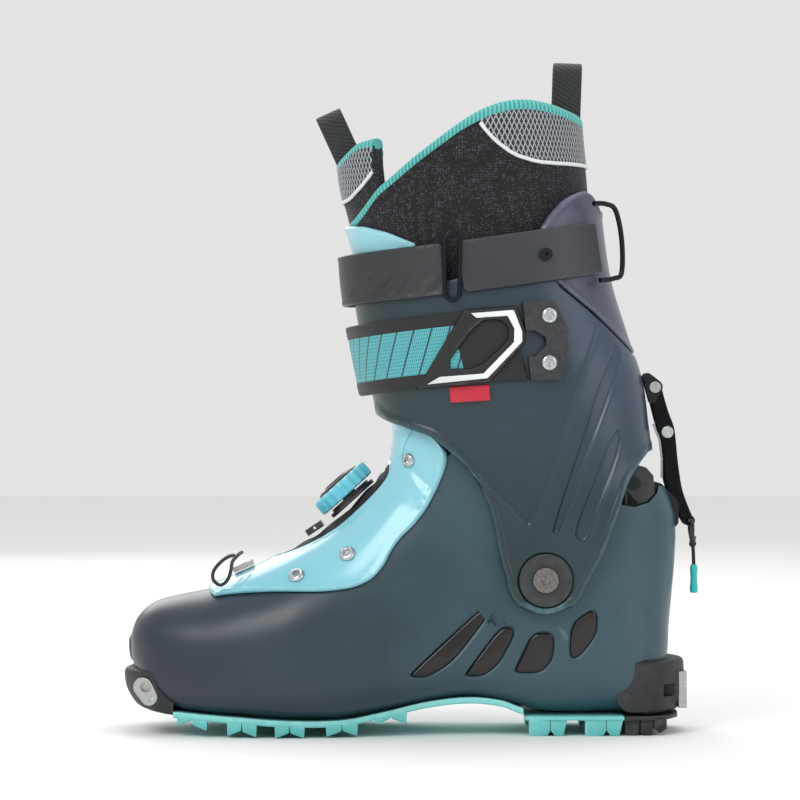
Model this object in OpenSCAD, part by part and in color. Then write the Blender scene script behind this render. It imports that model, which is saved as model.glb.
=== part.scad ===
// Ski-touring boot, left foot: lower shell, walking cuff, liner, straps, walk lever.
// +Z up, the toe points to -X, the outer side of the foot faces -Y.

/* [Joint] */
// Cuff pivot, distance behind the middle of the boot
pivot_x = 66.5; // [66:0.25:67]
// Cuff pivot, height above the floor
pivot_z = 75.8; // [75.5:0.1:76]

/* [Walls] */
// Wall of the lower shell
shell_wall = 3; // [2.4:0.1:3.2]
// Wall of the cuff
cuff_wall = 2.8; // [2.2:0.1:3]
// Foam of the lower liner
foam_low = 5; // [4:0.5:7]
// Foam of the upper liner
foam_high = 7.5; // [5:0.5:9]

/* [Straps] */
// Thickness of the top strap
strap_t = 2.4; // [1.8:0.1:2.6]
// Thickness of the middle webbing
web_t = 1.8; // [1.4:0.1:2.2]

/* [Outsole] */
// Depth of a tread lug
lug_depth = 8; // [6:0.5:8]

/* [Dial] */
// Radius of the lace dial
dial_r = 16; // [14:0.5:17]

/* [Hidden] */
eps = 0.05;
ring_pts = 32;

// Lower shell: one row per cross-section, each a line from the instep side to the sole side.
// [instep x, instep z, sole x, sole z, outer half-width, inner half-width,
//  exponent of the instep half, exponent of the sole half, taper]
SHELL = [
  [-135.5, 47, -134.5, 34, 12, 20, 2.4, 2.4, 0],
  [-132, 56, -132, 29, 23, 31, 2.5, 2.8, 0],
  [-124, 63, -125, 20, 33, 39, 2.5, 3.6, 0.02],
  [-111.5, 66.5, -113, 13, 40, 45, 2.5, 4.4, 0.04],
  [-97, 69.5, -97, 10.5, 45, 48.5, 2.5, 5, 0.06],
  [-82, 75.5, -82, 9.5, 48.5, 50.5, 2.4, 5, 0.08],
  [-68, 81.5, -66, 8, 50.5, 51, 2.3, 5, 0.08],
  [-55, 87.5, -50, 7.5, 51.5, 50, 2.3, 5, 0.08],
  [-43, 94, -31, 8, 50.5, 48, 2.3, 5, 0.08],
  [-32.5, 101.5, -11, 11.5, 48, 45.5, 2.3, 5, 0.08],
  [-23.5, 110, 11, 16, 45, 43, 2.4, 5, 0.07],
  [-16, 118, 31, 18, 42.5, 41, 2.5, 5, 0.06],
  [-11, 124.5, 50, 14.5, 40.5, 39.5, 2.7, 5, 0.04],
  [-8, 130, 70, 10.6, 39.5, 39, 2.9, 5, 0.02],
  [-6.5, 134, 97, 10.6, 39, 38.5, 3.1, 4.6, 0],
  [-5.8, 137.5, 122.5, 12, 38.5, 38.5, 3.2, 3.6, 0],
  [-5.4, 140.5, 127.5, 37, 38.5, 38.5, 3.3, 3.2, 0],
  [-5.2, 143, 128.5, 52, 38.5, 38.5, 3.3, 3, 0],
  [-5, 145.5, 130, 68, 38.5, 38.5, 3.2, 2.9, 0],
  [-5, 147.5, 131.5, 86, 38.5, 38.5, 3.1, 2.8, 0],
  [-5.2, 149.5, 131.8, 105, 38.5, 38.5, 3, 2.7, 0],
  [-5.4, 151, 127, 119.5, 38, 38, 2.9, 2.6, 0]];

// Cuff: level cross-sections, 24 mm apart from the top one down.
// [front x, rear x, half-width, exponent]
cuff_top_z = 268;
row_step = 24;
CUFF = [
  [-30, 95, 46, 2.3],
  [-28.5, 97, 47, 2.3],
  [-27, 100.8, 48, 2.35],
  [-23.5, 108, 48.5, 2.4],
  [-18.8, 115.7, 48.5, 2.5],
  [-13.5, 119, 47.5, 2.7],
  [-14, 123, 46, 3.2],
  [-30, 140, 45.5, 4.2],
  [-34, 146, 45.5, 5],
  [-34, 146, 45.5, 5],
  [-34, 146, 45.5, 5]];

// Tongue and liner inside the cuff: level cross-sections, 24 mm apart from the top one down.
inner_top_z = 316;
INNER = [
  [-34, 87.5, 44, 2.2],
  [-37, 89, 44.5, 2.2],
  [-35.5, 91.4, 43, 2.25],
  [-29.8, 93.4, 43.6, 2.3],
  [-23.6, 97.2, 44.6, 2.35],
  [-20.1, 104.4, 45.1, 2.4],
  [-15.4, 112, 45.1, 2.5],
  [-10, 115.3, 44, 2.7],
  [-10, 117, 42.4, 3.2],
  [-10, 117, 42, 3.2]];

function spline(a, b, c, d, s) =
  0.5 * (2 * b + (c - a) * s + (2 * a - 5 * b + 4 * c - d) * s * s
    + (3 * b - a - 3 * c + d) * s * s * s);
// Smooth curve through the rows, carried on in a straight line past the last one.
function row_at(rows, t) =
  let (last = len(rows) - 1, i = min(max(floor(t), 0), last - 1), s = t - i)
  t > last ? rows[last] + (rows[last] - rows[last - 1]) * (t - last)
  : spline(rows[max(i - 1, 0)], rows[i], rows[i + 1], rows[min(i + 2, last)], s);
function powered(v, n) = sign(v) * pow(abs(v), 2 / n);

// Point j of shell section t, moved out by off.
function shell_pt(t, j, off, pts) =
  let (r = row_at(SHELL, t), a = 360 * j / pts, n = cos(a) < 0 ? r[6] : r[7],
    u = powered(cos(a), n), v = powered(sin(a), n),
    mid = [(r[0] + r[2]) / 2, (r[1] + r[3]) / 2], d = [r[2] - r[0], r[3] - r[1]],
    long = norm(d), half = long / 2 + off, w = v > 0 ? r[5] : r[4])
  [mid.x + d.x / long * half * u, (w + off) * v * (1 + r[8] * u), mid.y + d.y / long * half * u];

module shell_form(off = 0, t0 = 0, t1 = 21, step = 0.5, pts = ring_pts) {
  rings = (t1 - t0) / step;
  p = [for (k = [0:rings]) for (j = [0:pts - 1]) shell_pt(t0 + (t1 - t0) * k / rings, j, off, pts)];
  side = [for (k = [0:rings - 1]) for (j = [0:pts - 1])
    let (a = k * pts + j, b = k * pts + (j + 1) % pts) each [[a, b + pts, b], [a, a + pts, b + pts]]];
  ends = [[for (j = [0:pts - 1]) j], [for (j = [pts - 1:-1:0]) rings * pts + j]];
  polyhedron(points = p, faces = concat(side, ends), convexity = 8);
}

// Level sections: row at height z, point at bearing a (180 is the shin, 90 the outer side).
function level_row(rows, top, z) = row_at(rows, (top - z) / row_step);
function level_pt(rows, top, a, z, off, front = 0) =
  let (r = level_row(rows, top, z), mid = (r[0] + r[1]) / 2, half = (r[1] - r[0]) / 2,
    c = powered(cos(a), r[3]), s = powered(sin(a), r[3]))
  [mid + (half + off + (c < 0 ? front * c * c : 0)) * c, -(r[2] + off) * s, z];
// Half-width of the cuff at x and z.
function cuff_y(x, z) =
  let (r = level_row(CUFF, cuff_top_z, z), u = (2 * x - r[0] - r[1]) / (r[1] - r[0]))
  r[2] * pow(1 - pow(abs(u), r[3]), 1 / r[3]);
// Bearing on the cuff at which the outer side reaches x.
function bearing(x, z) =
  let (r = level_row(CUFF, cuff_top_z, z), u = (2 * x - r[0] - r[1]) / (r[1] - r[0]))
  acos(sign(u) * pow(abs(u), r[3] / 2));

// A skin between two grids of points; closed joins its last column to its first.
module skin(outer, inner, closed = false) {
  cols = len(outer);
  rows = len(outer[0]);
  p = concat([for (c = outer) each c], [for (c = inner) each c]);
  half = cols * rows;
  spans = closed ? cols : cols - 1;
  walls = [for (i = [0:spans - 1]) for (j = [0:rows - 2])
    let (a = i * rows + j, b = ((i + 1) % cols) * rows + j)
    each [[a, b, b + 1], [a, b + 1, a + 1], [half + a, half + b + 1, half + b],
      [half + a, half + a + 1, half + b + 1]]];
  rims = [for (i = [0:spans - 1])
    let (a = i * rows, b = ((i + 1) % cols) * rows, e = rows - 1)
    each [[a, half + b, b], [a, half + a, half + b],
      [a + e, b + e, half + b + e], [a + e, half + b + e, half + a + e]]];
  sides = closed ? [] : [for (j = [0:rows - 2]) let (e = (cols - 1) * rows + j)
    each [[j, j + 1, half + j + 1], [j, half + j + 1, half + j],
      [e, half + e + 1, e + 1], [e, half + e, half + e + 1]]];
  polyhedron(points = p, faces = concat(walls, rims, sides), convexity = 8);
}

// Height at which a bearing meets an edge given as a function of x, by a few repeats.
function settle(rows, top, a, off, edge, z, times = 6) =
  times == 0 ? z : settle(rows, top, a, off, edge, edge(level_pt(rows, top, a, z, off).x), times - 1);

// Straight-line interpolation in a list of [x, z].
function along(list, x, i = 0) =
  x <= list[0].x ? list[0].y : i >= len(list) - 1 ? list[len(list) - 1].y
  : x <= list[i + 1].x ? list[i].y + (list[i + 1].y - list[i].y) * (x - list[i].x)
    / (list[i + 1].x - list[i].x)
  : along(list, x, i + 1);

// A bar along Y, by side-view position.
module rod(x, z, r, y0, y1, fn = 48) {
  translate([x, y0, z]) rotate([-90, 0, 0]) cylinder(r = r, h = y1 - y0, $fn = fn);
}
// A side-view outline made solid from y0 to y1.
module side(y0, y1) {
  translate([0, y1, 0]) rotate([90, 0, 0]) linear_extrude(y1 - y0) children();
}
module both_sides() {
  children();
  mirror([0, 1, 0]) children();
}

// Space the cuff and what it carries sweep through, kept free of everything fixed to the shell.
free_r = 75.6;
free_end = 129;
module sweep_zone(r0 = free_r) {
  steps = 11;
  for (i = [0:steps - 1]) hull() {
    for (k = [i, i + 1]) translate([pivot_x, 0, pivot_z])
      rotate([0, 25 - (free_end + 25) * k / steps, 0]) translate([r0, -60, 0]) cube([80, 120, 0.01]);
  }
}

SHELL_COL = "#3d5560";
BLUE = "#83cbd8";
TEAL = "#5fc2bf";

// ---------- lower shell and what is fixed to it ----------
WINDOWS = [
  [[38, 64], [41.5, 62], [23, 37], [11, 29], [2, 29], [2.5, 31]],
  [[45.5, 53.5], [53, 51.5], [44.5, 35], [37, 29], [28, 29], [29.5, 31.5]],
  [[60.5, 50], [71, 50], [70.5, 37.5], [65, 30.5], [52, 30.5], [53, 33.5]],
  [[79, 54], [89, 61], [92, 59], [91.5, 49], [83, 38], [78.5, 37.5]]];
window_deep = 1.6;

module window_shapes(grow, deep0, deep1) {
  for (w = WINDOWS) both_sides() hull() for (p = w)
    rod(p.x, p.y, 1.2 + grow, deep0, deep1, 12);
}

module lower_shell() color(SHELL_COL) difference() {
  shell_form();
  shell_form(-shell_wall, 2, 22, 1, 24);
  difference() {
    window_shapes(0, 20, 60);
    shell_form(-window_deep, 8, 20);
  }
  sweep_zone();
  both_sides() rod(pivot_x, pivot_z, 6.2, 30, 60);
  toe_bar(0.06);
  toe_access();
  lock_notch(10.3, notch_r);
  side(-60, 60) polygon(SHELL_RIM);
}

// Notch in the heel spine in which the lock sits.
notch_r = 68;
// Cut that lowers the rim of the shell on each side of the heel spine.
SHELL_RIM = [[60, 131], [98, 116], [104, 111.5], [110, 110.5], [117, 112.5], [121.5, 117], [124, 125],
  [124, 160], [60, 160]];
module lock_notch(half, r) {
  difference() {
    side(-half, half) polygon([[112, 97], [150, 97], [150, 140], [100, 140]]);
    rod(pivot_x, pivot_z, r, -20, 20, 96);
  }
}

// Dark rubber panels that lie in the window pockets.
module window_inlays() color("#241f1e") intersection() {
  window_shapes(-0.4, 20, 60);
  difference() {
    shell_form(-0.5, 8, 20);
    shell_form(-window_deep + 0.1, 8, 20);
  }
}

toe_x = -126;
toe_z = 23.8;
toe_half = 34.6;
module toe_bar(grow) {
  hull() {
    rod(toe_x - 1.5, toe_z, 4.6 + grow, -toe_half, toe_half, 32);
    rod(toe_x + 1.5, toe_z - 5, 4 + grow, -toe_half, toe_half, 32);
  }
}
// Free way to the two sockets, past the flare of the shell.
module toe_access() {
  both_sides() rod(toe_x, toe_z, 4.2, toe_half, 60, 32);
}
module toe_insert() color("silver") difference() {
  toe_bar(0);
  both_sides() rod(toe_x, toe_z, 2.6, toe_half - 5, toe_half + 1);
  both_sides() rod(toe_x + 2.6, toe_z - 5.7, 1.3, toe_half - 4, toe_half + 1);
}
module toe_screws() color("silver") both_sides() difference() {
  rod(toe_x + 2.6, toe_z - 5.7, 1.25, toe_half - 3.9, toe_half - 0.3);
  rod(toe_x + 2.6, toe_z - 5.7, 0.6, toe_half - 1, toe_half, 6);
}

// Toe ledge, in slices across the boot that follow its rounded front.
module toe_bumper() color("#1b1d20") difference() {
  for (i = [-4:4]) let (y = i * 7.6) hull() {
    for (k = [y - 3.8, y + 3.8]) let (back = 0.0105 * k * k) translate([back, k - 0.005, 0]) side(0, 0.01)
      polygon([[-139.2, 30.4], [-134, 32.4], [-110, 32], [-108, 9.2], [-125, 9.8], [-133, 13], [-138, 21]]);
  }
  shell_form(eps);
  translate([-112.9, -60, 0]) cube([20, 120, 60]);
  toe_bar(0.06);
  toe_access();
}

module heel_ledge() color("#1c2126") difference() {
  for (i = [-4:4]) let (y = i * 7.4) hull() {
    for (k = [y - 3.7, y + 3.7]) let (front = 0.0125 * k * k) translate([-front, k - 0.005, 0])
      side(0, 0.01) polygon([[114, 36.4], [136, 36.2], [136.2, 10.2], [114, 10.2]]);
  }
  shell_form(eps);
  translate([132.4, -17, 12]) cube([10, 34, 18]);
  both_sides() translate([124, 22, 18.7]) cube([9.5, 20, 6]);
}
module heel_insert() color("silver") difference() {
  translate([132.5, -16.9, 12.1]) cube([3.9, 33.8, 17.7]);
  both_sides() translate([134.2, 12, 16]) cube([5, 2.8, 15]);
  both_sides() translate([134.2, 3.4, 12]) cube([5, 4.6, 9]);
  translate([132, 0, 24.5]) rotate([0, 90, 0]) cylinder(r = 2.1, h = 6, $fn = 32);
}
module heel_screws() color("silver") difference() {
  translate([132.8, 0, 24.5]) rotate([0, 90, 0]) cylinder(r = 2.05, h = 3.4, $fn = 32);
  translate([135.2, 0, 24.5]) rotate([0, 90, 0]) cylinder(r = 1.1, h = 2, $fn = 6);
}

// Half-width of the sole at x.
SOLE_W = [[-116, 34], [-110, 36], [-100, 41], [-85, 45], [-65, 47.5], [-45, 46.5], [-25, 43], [0, 38],
  [30, 35], [70, 35.5], [110, 34.5], [122, 31]];
// Bottom of the front sole strip.
STRIP = [[-118, 9], [-82, 7], [-56, 5.4], [-31, 5.6], [-11, 9.2], [11, 14], [31, 15.8], [46, 14.2],
  [56, 10.6]];
// Front lugs: [front x, rear x, floor z at the front, floor z at the rear]
LUGS = [[-111, -96, 5.2, 3.1], [-86.5, -72, 1, 0.5], [-63.5, -49, 0, 0], [-39, -23.5, 0.6, 0.8],
  [-15.5, 0, 6.2, 6.2]];

module front_outsole() color(TEAL) difference() {
  union() {
    intersection() {
      side(-60, 60) polygon(concat([for (p = STRIP) p], [for (i = [len(STRIP) - 1:-1:0])
        STRIP[i] + [0, 3.2]]));
      translate([0, 0, -5]) linear_extrude(60) polygon(concat([for (p = SOLE_W) [p.x, p.y]],
        [for (i = [len(SOLE_W) - 1:-1:0]) [SOLE_W[i].x, -SOLE_W[i].y]]));
    }
    for (g = LUGS) both_sides() for (part = [0, 1]) hull() {
      for (k = [0, 1]) let (x = g[0] + (g[1] - g[0]) * (part + k) / 2, w = along(SOLE_W, x),
        low = k == part ? g[2] : g[3] + 0) {
        translate([x - 0.6, w - 15, low + (k == part ? 0 : 2.5)]) cube([1.2, 14, 1]);
        translate([x - 0.6, w - 17, along(STRIP, x)]) cube([1.2, 16.6, 1]);
      }
    }
  }
  shell_form(eps);
  translate([-134, -60, 0]) cube([21.2, 120, 60]);
}

module heel_outsole() color(TEAL) difference() {
  union() {
    translate([0, 0, 7.6]) linear_extrude(2) polygon([[57, 34], [70, 35.3], [104.9, 35], [104.9, -35],
      [70, -35.3], [57, -34]]);
    both_sides() for (x = [59, 86]) side(19, 34.4)
      polygon([[x, 9], [x, 0], [x + 9, 0], [x + 10.5, lug_depth / 3], [x + 12, 0], [x + 16.5, 0],
        [x + 18.5, 9]]);
  }
}
module heel_block() color("#17181a") difference() {
  union() {
    translate([0, 0, 7.4]) linear_extrude(2.2) polygon([[105.1, 34.8], [118, 33], [127, 26], [132, 14],
      [133, 0], [132, -14], [127, -26], [118, -33], [105.1, -34.8]]);
    both_sides() side(15, 32) polygon([[105.1, 8], [105.1, 0], [117.8, 0], [119, 3], [120.6, 3],
      [122, 1], [127, 4.6], [127, 8]]);
  }
  both_sides() translate([124, 26, -1]) rotate([0, 0, 45]) cube([10, 10, 8]);
}

// Light plastic instep flap, wrapped over the shell; its middle is open for the gaiter.
FLAP = [[-99.8, 67.5], [-98, 73], [-88, 82], [-60, 96], [-24, 118], [-14, 140], [-14, 158], [6, 150],
  [16.5, 141], [19, 137], [18.5, 133], [14.5, 121.5], [6.5, 107], [-2, 99], [-4.5, 95.5], [-8.5, 89],
  [-11, 83.5], [-18, 75.5], [-26.5, 72], [-41.5, 70.8], [-62, 71.2], [-82, 70.2]];
slot_half = 18;
module flap_slot(grow) {
  translate([-54, -slot_half - grow, 80]) cube([43 + grow, 2 * (slot_half + grow), 54]);
}
module instep_flap() color(BLUE) difference() {
  intersection() {
    shell_form(2.3, 4, 21);
    side(-60, 60) polygon(FLAP);
  }
  shell_form(0.15, 3.5, 21.5);
  flap_slot(0);
  side(-60, 60) polygon([[-6, 134.5], [-3.4, 134.5], [0.6, 143.5], [-1.8, 160], [-30, 160],
    [-30, 134.5]]);
  sweep_zone();
}
// Foot of the tongue, in front of the slit.
module tongue_lower() color(BLUE) difference() {
  intersection() {
    shell_form(2.3, 14, 21);
    side(-60, 60) polygon([[-30, 135], [-6, 135], [-4.1, 135], [-0.6, 143.5], [-3, 158], [-30, 158]]);
  }
  shell_form(0.15, 13, 21.5);
  sweep_zone();
}
// Waterproof fabric under the lace dial.
module gaiter() color("#15171a") difference() {
  intersection() {
    shell_form(3, 6, 17, 1);
    flap_slot(-0.4);
  }
  shell_form(0.15, 5, 18, 1);
  translate([-53.6, -40, 134 - 0.4]) cube([60, 80, 20]);
  sweep_zone();
}

// Screw with a domed head, standing on a surface at p and pointing along the outward normal n.
module aim(p, n) {
  translate(p) rotate([0, acos(n.z / norm(n)), atan2(n.y, n.x)]) children();
}
module screw(r, h = 1.6, hex = 0.45) {
  difference() {
    cylinder(r = r, h = h, $fn = 40);
    translate([0, 0, h - 0.9]) cylinder(r = r * hex, h = 2, $fn = 6);
  }
}
// Outward normal of the shell form near section t, point number j of 32.
function shell_normal(t, j) =
  let (a = shell_pt(t + 0.05, j, 0, 32) - shell_pt(t - 0.05, j, 0, 32),
    b = shell_pt(t, j + 0.1, 0, 32) - shell_pt(t, j - 0.1, 0, 32), n = cross(b, a)) n / norm(n);
// Flap screws: [section, point number, head radius], one set per side.
FLAP_SCREWS = [[7.1, 20.3, 4], [9.05, 20.6, 4], [15.4, 19.2, 3.6]];
module flap_screws() color("silver") for (s = FLAP_SCREWS) for (j = [s[1], 32 - s[1]])
  aim(shell_pt(s[0], j, 2.9, 32), shell_normal(s[0], j)) screw(s[2]);

// Front lace anchor on the toe of the flap.
module lace_clip() color("silver") aim([-80, 0, 79.4], [-0.38, 0, 0.92]) difference() {
  translate([-5, -9, 0]) cube([10, 18, 2.6]);
  both_sides() translate([-1, 5, -1]) cylinder(r = 2.2, h = 5, $fn = 24);
}
module tube(points, r, sides) {
  n = len(points);
  dirs = [for (i = [0:n - 1]) let (d = points[min(i + 1, n - 1)] - points[max(i - 1, 0)]) d / norm(d)];
  p = [for (i = [0:n - 1]) let (d = dirs[i], side_v = cross(d, abs(d.y) > 0.9 ? [1, 0, 0] : [0, 1, 0]),
    a = side_v / norm(side_v), b = cross(d, a))
    for (k = [0:sides - 1]) points[i] + r * (cos(360 * k / sides) * a + sin(360 * k / sides) * b)];
  wall = [for (i = [0:n - 2]) for (k = [0:sides - 1])
    let (q = i * sides + k, w = i * sides + (k + 1) % sides)
    each [[q, w + sides, w], [q, q + sides, w + sides]]];
  polyhedron(points = p, faces = concat(wall, [[for (k = [0:sides - 1]) k],
    [for (k = [sides - 1:-1:0]) (n - 1) * sides + k]]));
}
function smooth(pts, steps) = [for (i = [0:len(pts) - 2]) for (k = [0:steps - 1])
  row_at(pts, i + k / steps), pts[len(pts) - 1]];
// Lace that hangs out of the clip as a small open ring.
LACE = [[-85, -6, 86], [-87.5, -12, 85.5], [-91, -17.5, 83], [-94, -21.5, 79], [-94, -24.5, 75],
  [-90.5, -26, 72.5], [-87, -26, 75], [-85.5, -23.5, 79.5], [-85, -19, 83.5], [-82.5, -13, 86.5],
  [-81, -6, 87.5]];
module lace_loop() color("#101010") tube(smooth(LACE, 3), 0.9, 8);

module lace_guide() color("#101214") aim([-44.5, 0, 97.9], [-0.55, 0, 0.83]) difference() {
  translate([-4.5, -8, 0]) cube([9, 16, 3.2]);
  translate([0, 9, 1.6]) rotate([90, 0, 0]) cylinder(r = 0.9, h = 18, $fn = 24);
}

// Lace dial: a fixed base, a spool that lifts to release, and a knob that turns on it.
dial_at = [-31.4, 0, 118.7];
dial_axis = [-0.67, 0, 0.742];
spool_r = 4;
fit = 0.05;
module dial_base() color("#141416") aim(dial_at, dial_axis) difference() {
  union() {
    translate([0, 0, -7.7]) cylinder(r = 13.5, h = 1.9, $fn = 64);
    translate([0, 0, -5.8]) cylinder(r = 11.5, h = 1.3, $fn = 64);
  }
  translate([0, 0, -9]) cylinder(r = spool_r + fit, h = 10, $fn = 64);
}
module dial_core() color("#2a2a2c") aim(dial_at, dial_axis)
  translate([0, 0, -7.6]) cylinder(r = spool_r, h = 9.5, $fn = 64);
module dial_knob() color("#6fc6da") aim(dial_at, dial_axis) difference() {
  union() {
    translate([0, 0, -3.7]) linear_extrude(7.4)
      polygon([for (i = [0:143]) let (r = dial_r - 0.7 + 0.7 * cos(i * 50))
        r * [cos(i * 2.5), sin(i * 2.5)]]);
    translate([0, 0, 3.7]) cylinder(r1 = 12, r2 = 8, h = 2.3, $fn = 64);
  }
  translate([0, 0, -5]) cylinder(r = spool_r + fit, h = 7.1, $fn = 64);
}

// ---------- liner ----------
liner_gap = shell_wall + 0.9;
module liner_lower() color("#26242a") difference() {
  shell_form(-liner_gap, 3, 21, 1, 24);
  shell_form(-liner_gap - foam_low, 4, 22, 1, 24);
  sweep_zone(74);
  lock_notch(11, notch_r - 0.6);
  both_sides() translate([104, plate_y - 0.5, 108]) cube([20, 20, 30]);
  both_sides() rod(pivot_x, pivot_z, 10, 32.6, 60);
}
module insole() color("#3f4650") difference() {
  intersection() {
    shell_form(-liner_gap - foam_low - 0.4, 4, 18, 1, 24);
    for (i = [0:8]) hull() for (k = [0, 1]) let (x = -118 + 26 * (i + k), z = along(STRIP, x))
      translate([x, -60, min(z, 15)]) cube([0.1, 120, 19]);
  }
  translate([0, 0, 3.5]) shell_form(-liner_gap - foam_low + 0.2, 4, 19, 1, 24);
  translate([112, -60, 0]) cube([20, 120, 80]);
}

// ---------- lock at the heel spine ----------
cheek_in = 8;
cheek_t = 2.2;
lock_x = 127.5;
lock_z = 111;
module lock_bracket() color("#2b3038") difference() {
  union() {
    for (s = [-1, 1]) translate([0, s * (cheek_in + cheek_t / 2), 0]) side(-cheek_t / 2, cheek_t / 2) hull() {
      translate([127.8, 110.4]) circle(r = 5.3, $fn = 40);
      translate([122.5, 117.8]) circle(r = 4, $fn = 40);
      translate([129.8, 103]) circle(r = 3.2, $fn = 40);
    }
    intersection() {
      rod(pivot_x, pivot_z, notch_r + 0.9, -cheek_in - 0.5, cheek_in + 0.5, 96);
      side(-20, 20) polygon([[126, 99], [150, 99], [140, 122], [118, 122]]);
    }
  }
  rod(pivot_x, pivot_z, notch_r + 0.05, -20, 20, 96);
  rod(lock_x, lock_z, 1.55, -cheek_in - 1, cheek_in + 1);
}
module lock_pin() color("silver") rod(lock_x, lock_z, 1.5, -cheek_in - 0.9, cheek_in + 0.9);
// Dark cover plates that close the dip in the rim, one on each side.
plate_y = 24.8;
plate_t = 1;
module lock_block() color("#121314") both_sides() side(plate_y, plate_y + plate_t) polygon([[105.6, 111.6],
  [106.5, 124], [110.5, 131], [116, 129.5], [119.5, 125.5], [120, 117], [116, 112.9], [110, 111]]);
module lock_rivet() color("#1d1e20") both_sides()
  rod(110, 121.7, 3.3, plate_y + plate_t + 0.05, plate_y + plate_t + 0.9);

// ---------- pivot ----------
module pivot_bolts() color("#3a3436") both_sides() difference() {
  union() {
    rod(pivot_x, pivot_z, 4, 33.7, 38.7, 64);
    rod(pivot_x, pivot_z, 5, 38.7, 44, 64);
    rod(pivot_x, pivot_z, 6.1, 44, 46.8, 64);
  }
  rod(pivot_x, pivot_z, 2.4, 44.8, 47, 6);
}
module pivot_washers() color("#222426") both_sides() difference() {
  rod(pivot_x, pivot_z, 11, 38.75, 42.4, 64);
  rod(pivot_x, pivot_z, 5.05, 38, 43, 64);
}
module pivot_nuts() color("#8c9094") both_sides() difference() {
  union() {
    rod(pivot_x, pivot_z, 9, 33, 34.7, 64);
    rod(pivot_x, pivot_z, 6, 34.7, 38.2, 64);
  }
  rod(pivot_x, pivot_z, 4.05, 33, 39, 64);
}
module pivot_bushes() color("#161616") both_sides() difference() {
  rod(pivot_x, pivot_z, 12.7, 42.5, 46.4, 64);
  rod(pivot_x, pivot_z, 5.05, 42, 47, 64);
  rod(pivot_x, pivot_z, 6.4, 43.9, 47, 64);
}

// ---------- cuff ----------
// Side outline of the cuff: lower edge from the front corner round the pivot lobe, rear, and top seam.
CUFF_SIDE = concat([[-40, 156.5], [-16, 156.5], [-13.5, 153.5], [-9, 151.2], [-3.5, 149.3], [11, 144.5],
  [18.7, 138.5], [28.8, 129], [34, 121.5], [39, 111], [42, 99], [44.7, 84.5]],
  [for (a = [180:15:345]) [pivot_x, pivot_z] + 17 * [cos(a), sin(a)] + [a < 240 ? -2 : a > 300 ? 2.5 : 0, 0]],
  [[94.6, 88.5], [100.3, 103.7], [104.5, 115], [107, 122.5], [118.6, 138.7], [150, 139]],
  [[150, 152], [111, 183], [92, 201], [69, 219], [64, 243.5], [52, 233], [30, 222], [0, 215], [-40, 211]]);

// A tube of level sections from z0 up to z1.
module level_form(rows, top, off, z0, z1, n, pts) {
  p = [for (k = [0:n]) for (i = [0:pts - 1]) level_pt(rows, top, 360 * i / pts, z0 + (z1 - z0) * k / n, off)];
  wall = [for (k = [0:n - 1]) for (i = [0:pts - 1])
    let (a = k * pts + i, b = k * pts + (i + 1) % pts) each [[a, b, b + pts], [a, b + pts, a + pts]]];
  polyhedron(points = p, faces = concat(wall, [[for (i = [pts - 1:-1:0]) i],
    [for (i = [0:pts - 1]) n * pts + i]]), convexity = 6);
}

// Raised ribs that run down to the pivot: [start, end] pairs of [x, z].
RIBS = [[[31.5, 127], [56, 101.5]], [[56, 101.5], [60, 101.5]], [[60, 101.5], [75, 143]],
  [[75, 143], [91, 197]], [[105, 182], [73, 101]], [[73, 101], [69, 101]], [[69, 101], [97, 184]],
  [[104, 141], [86, 94]], [[86, 94], [80, 98]], [[80, 98], [98, 142]]];
module ribs() both_sides() for (r = RIBS) hull() for (p = r) rod(p.x, p.y, 0.8, 20, 60, 8);

module cuff() color("#2f4f57") difference() {
  intersection() {
    union() {
      level_form(CUFF, cuff_top_z, 0, 52, 250, 16, 40);
      intersection() {
        level_form(CUFF, cuff_top_z, 0.8, 52, 250, 16, 40);
        ribs();
      }
    }
    side(-60, 60) polygon(CUFF_SIDE);
  }
  level_form(CUFF, cuff_top_z, -cuff_wall, 50, 260, 16, 40);
  both_sides() rod(pivot_x, pivot_z, 12.85, 38, 50, 64);
}
// Rear spoiler above the seam, as stretches between its seam and its rim: [x, seam z, rim z].
SPOILER = [[65.3, 243.5, 244.2], [70.3, 220.2, 252], [77, 214.6, 259.5], [85, 208.4, 263.3],
  [90.5, 204.2, 263.5], [97, 198.2, 259.5], [104, 191.4, 257], [111, 184.8, 256], [114.5, 181.8, 256],
  [118, 180, 256]];
module spoiler() color("#575d70") difference() {
  intersection() {
    level_form(CUFF, cuff_top_z, 0, 172, 268, 8, 40);
    for (i = [0:len(SPOILER) - 2]) hull() for (q = [SPOILER[i], SPOILER[i + 1]])
      for (z = [q[1], q[2]]) rod(q[0], z, 0.4, -60, 60, 8);
  }
  level_form(CUFF, cuff_top_z, -2.6, 170, 272, 8, 40);
}

// Columns of a level form between two edges.
function columns(rows, top, angles, low, high, off, n, front = 0) = [for (a = angles)
  let (z0 = settle(rows, top, a, off, low, 150), z1 = settle(rows, top, a, off, high, 220))
  [for (j = [0:n]) level_pt(rows, top, a, z0 + (z1 - z0) * j / n, off, front)]];

// Lower limit of everything soft inside the cuff: clear of the shell and the instep.
soft_r = 77;
instep_r = 107.6;
split_a = 117;
split_0 = pivot_x + instep_r * cos(split_a);
split_1 = pivot_x + soft_r * cos(split_a);
function soft_low(x) = x < split_0 ? pivot_z + sqrt(max(instep_r * instep_r - pow(x - pivot_x, 2), 0))
  : x < split_1 ? pivot_z + (x - pivot_x) * tan(split_a)
  : pivot_z + sqrt(max(soft_r * soft_r - pow(x - pivot_x, 2), 0));

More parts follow.
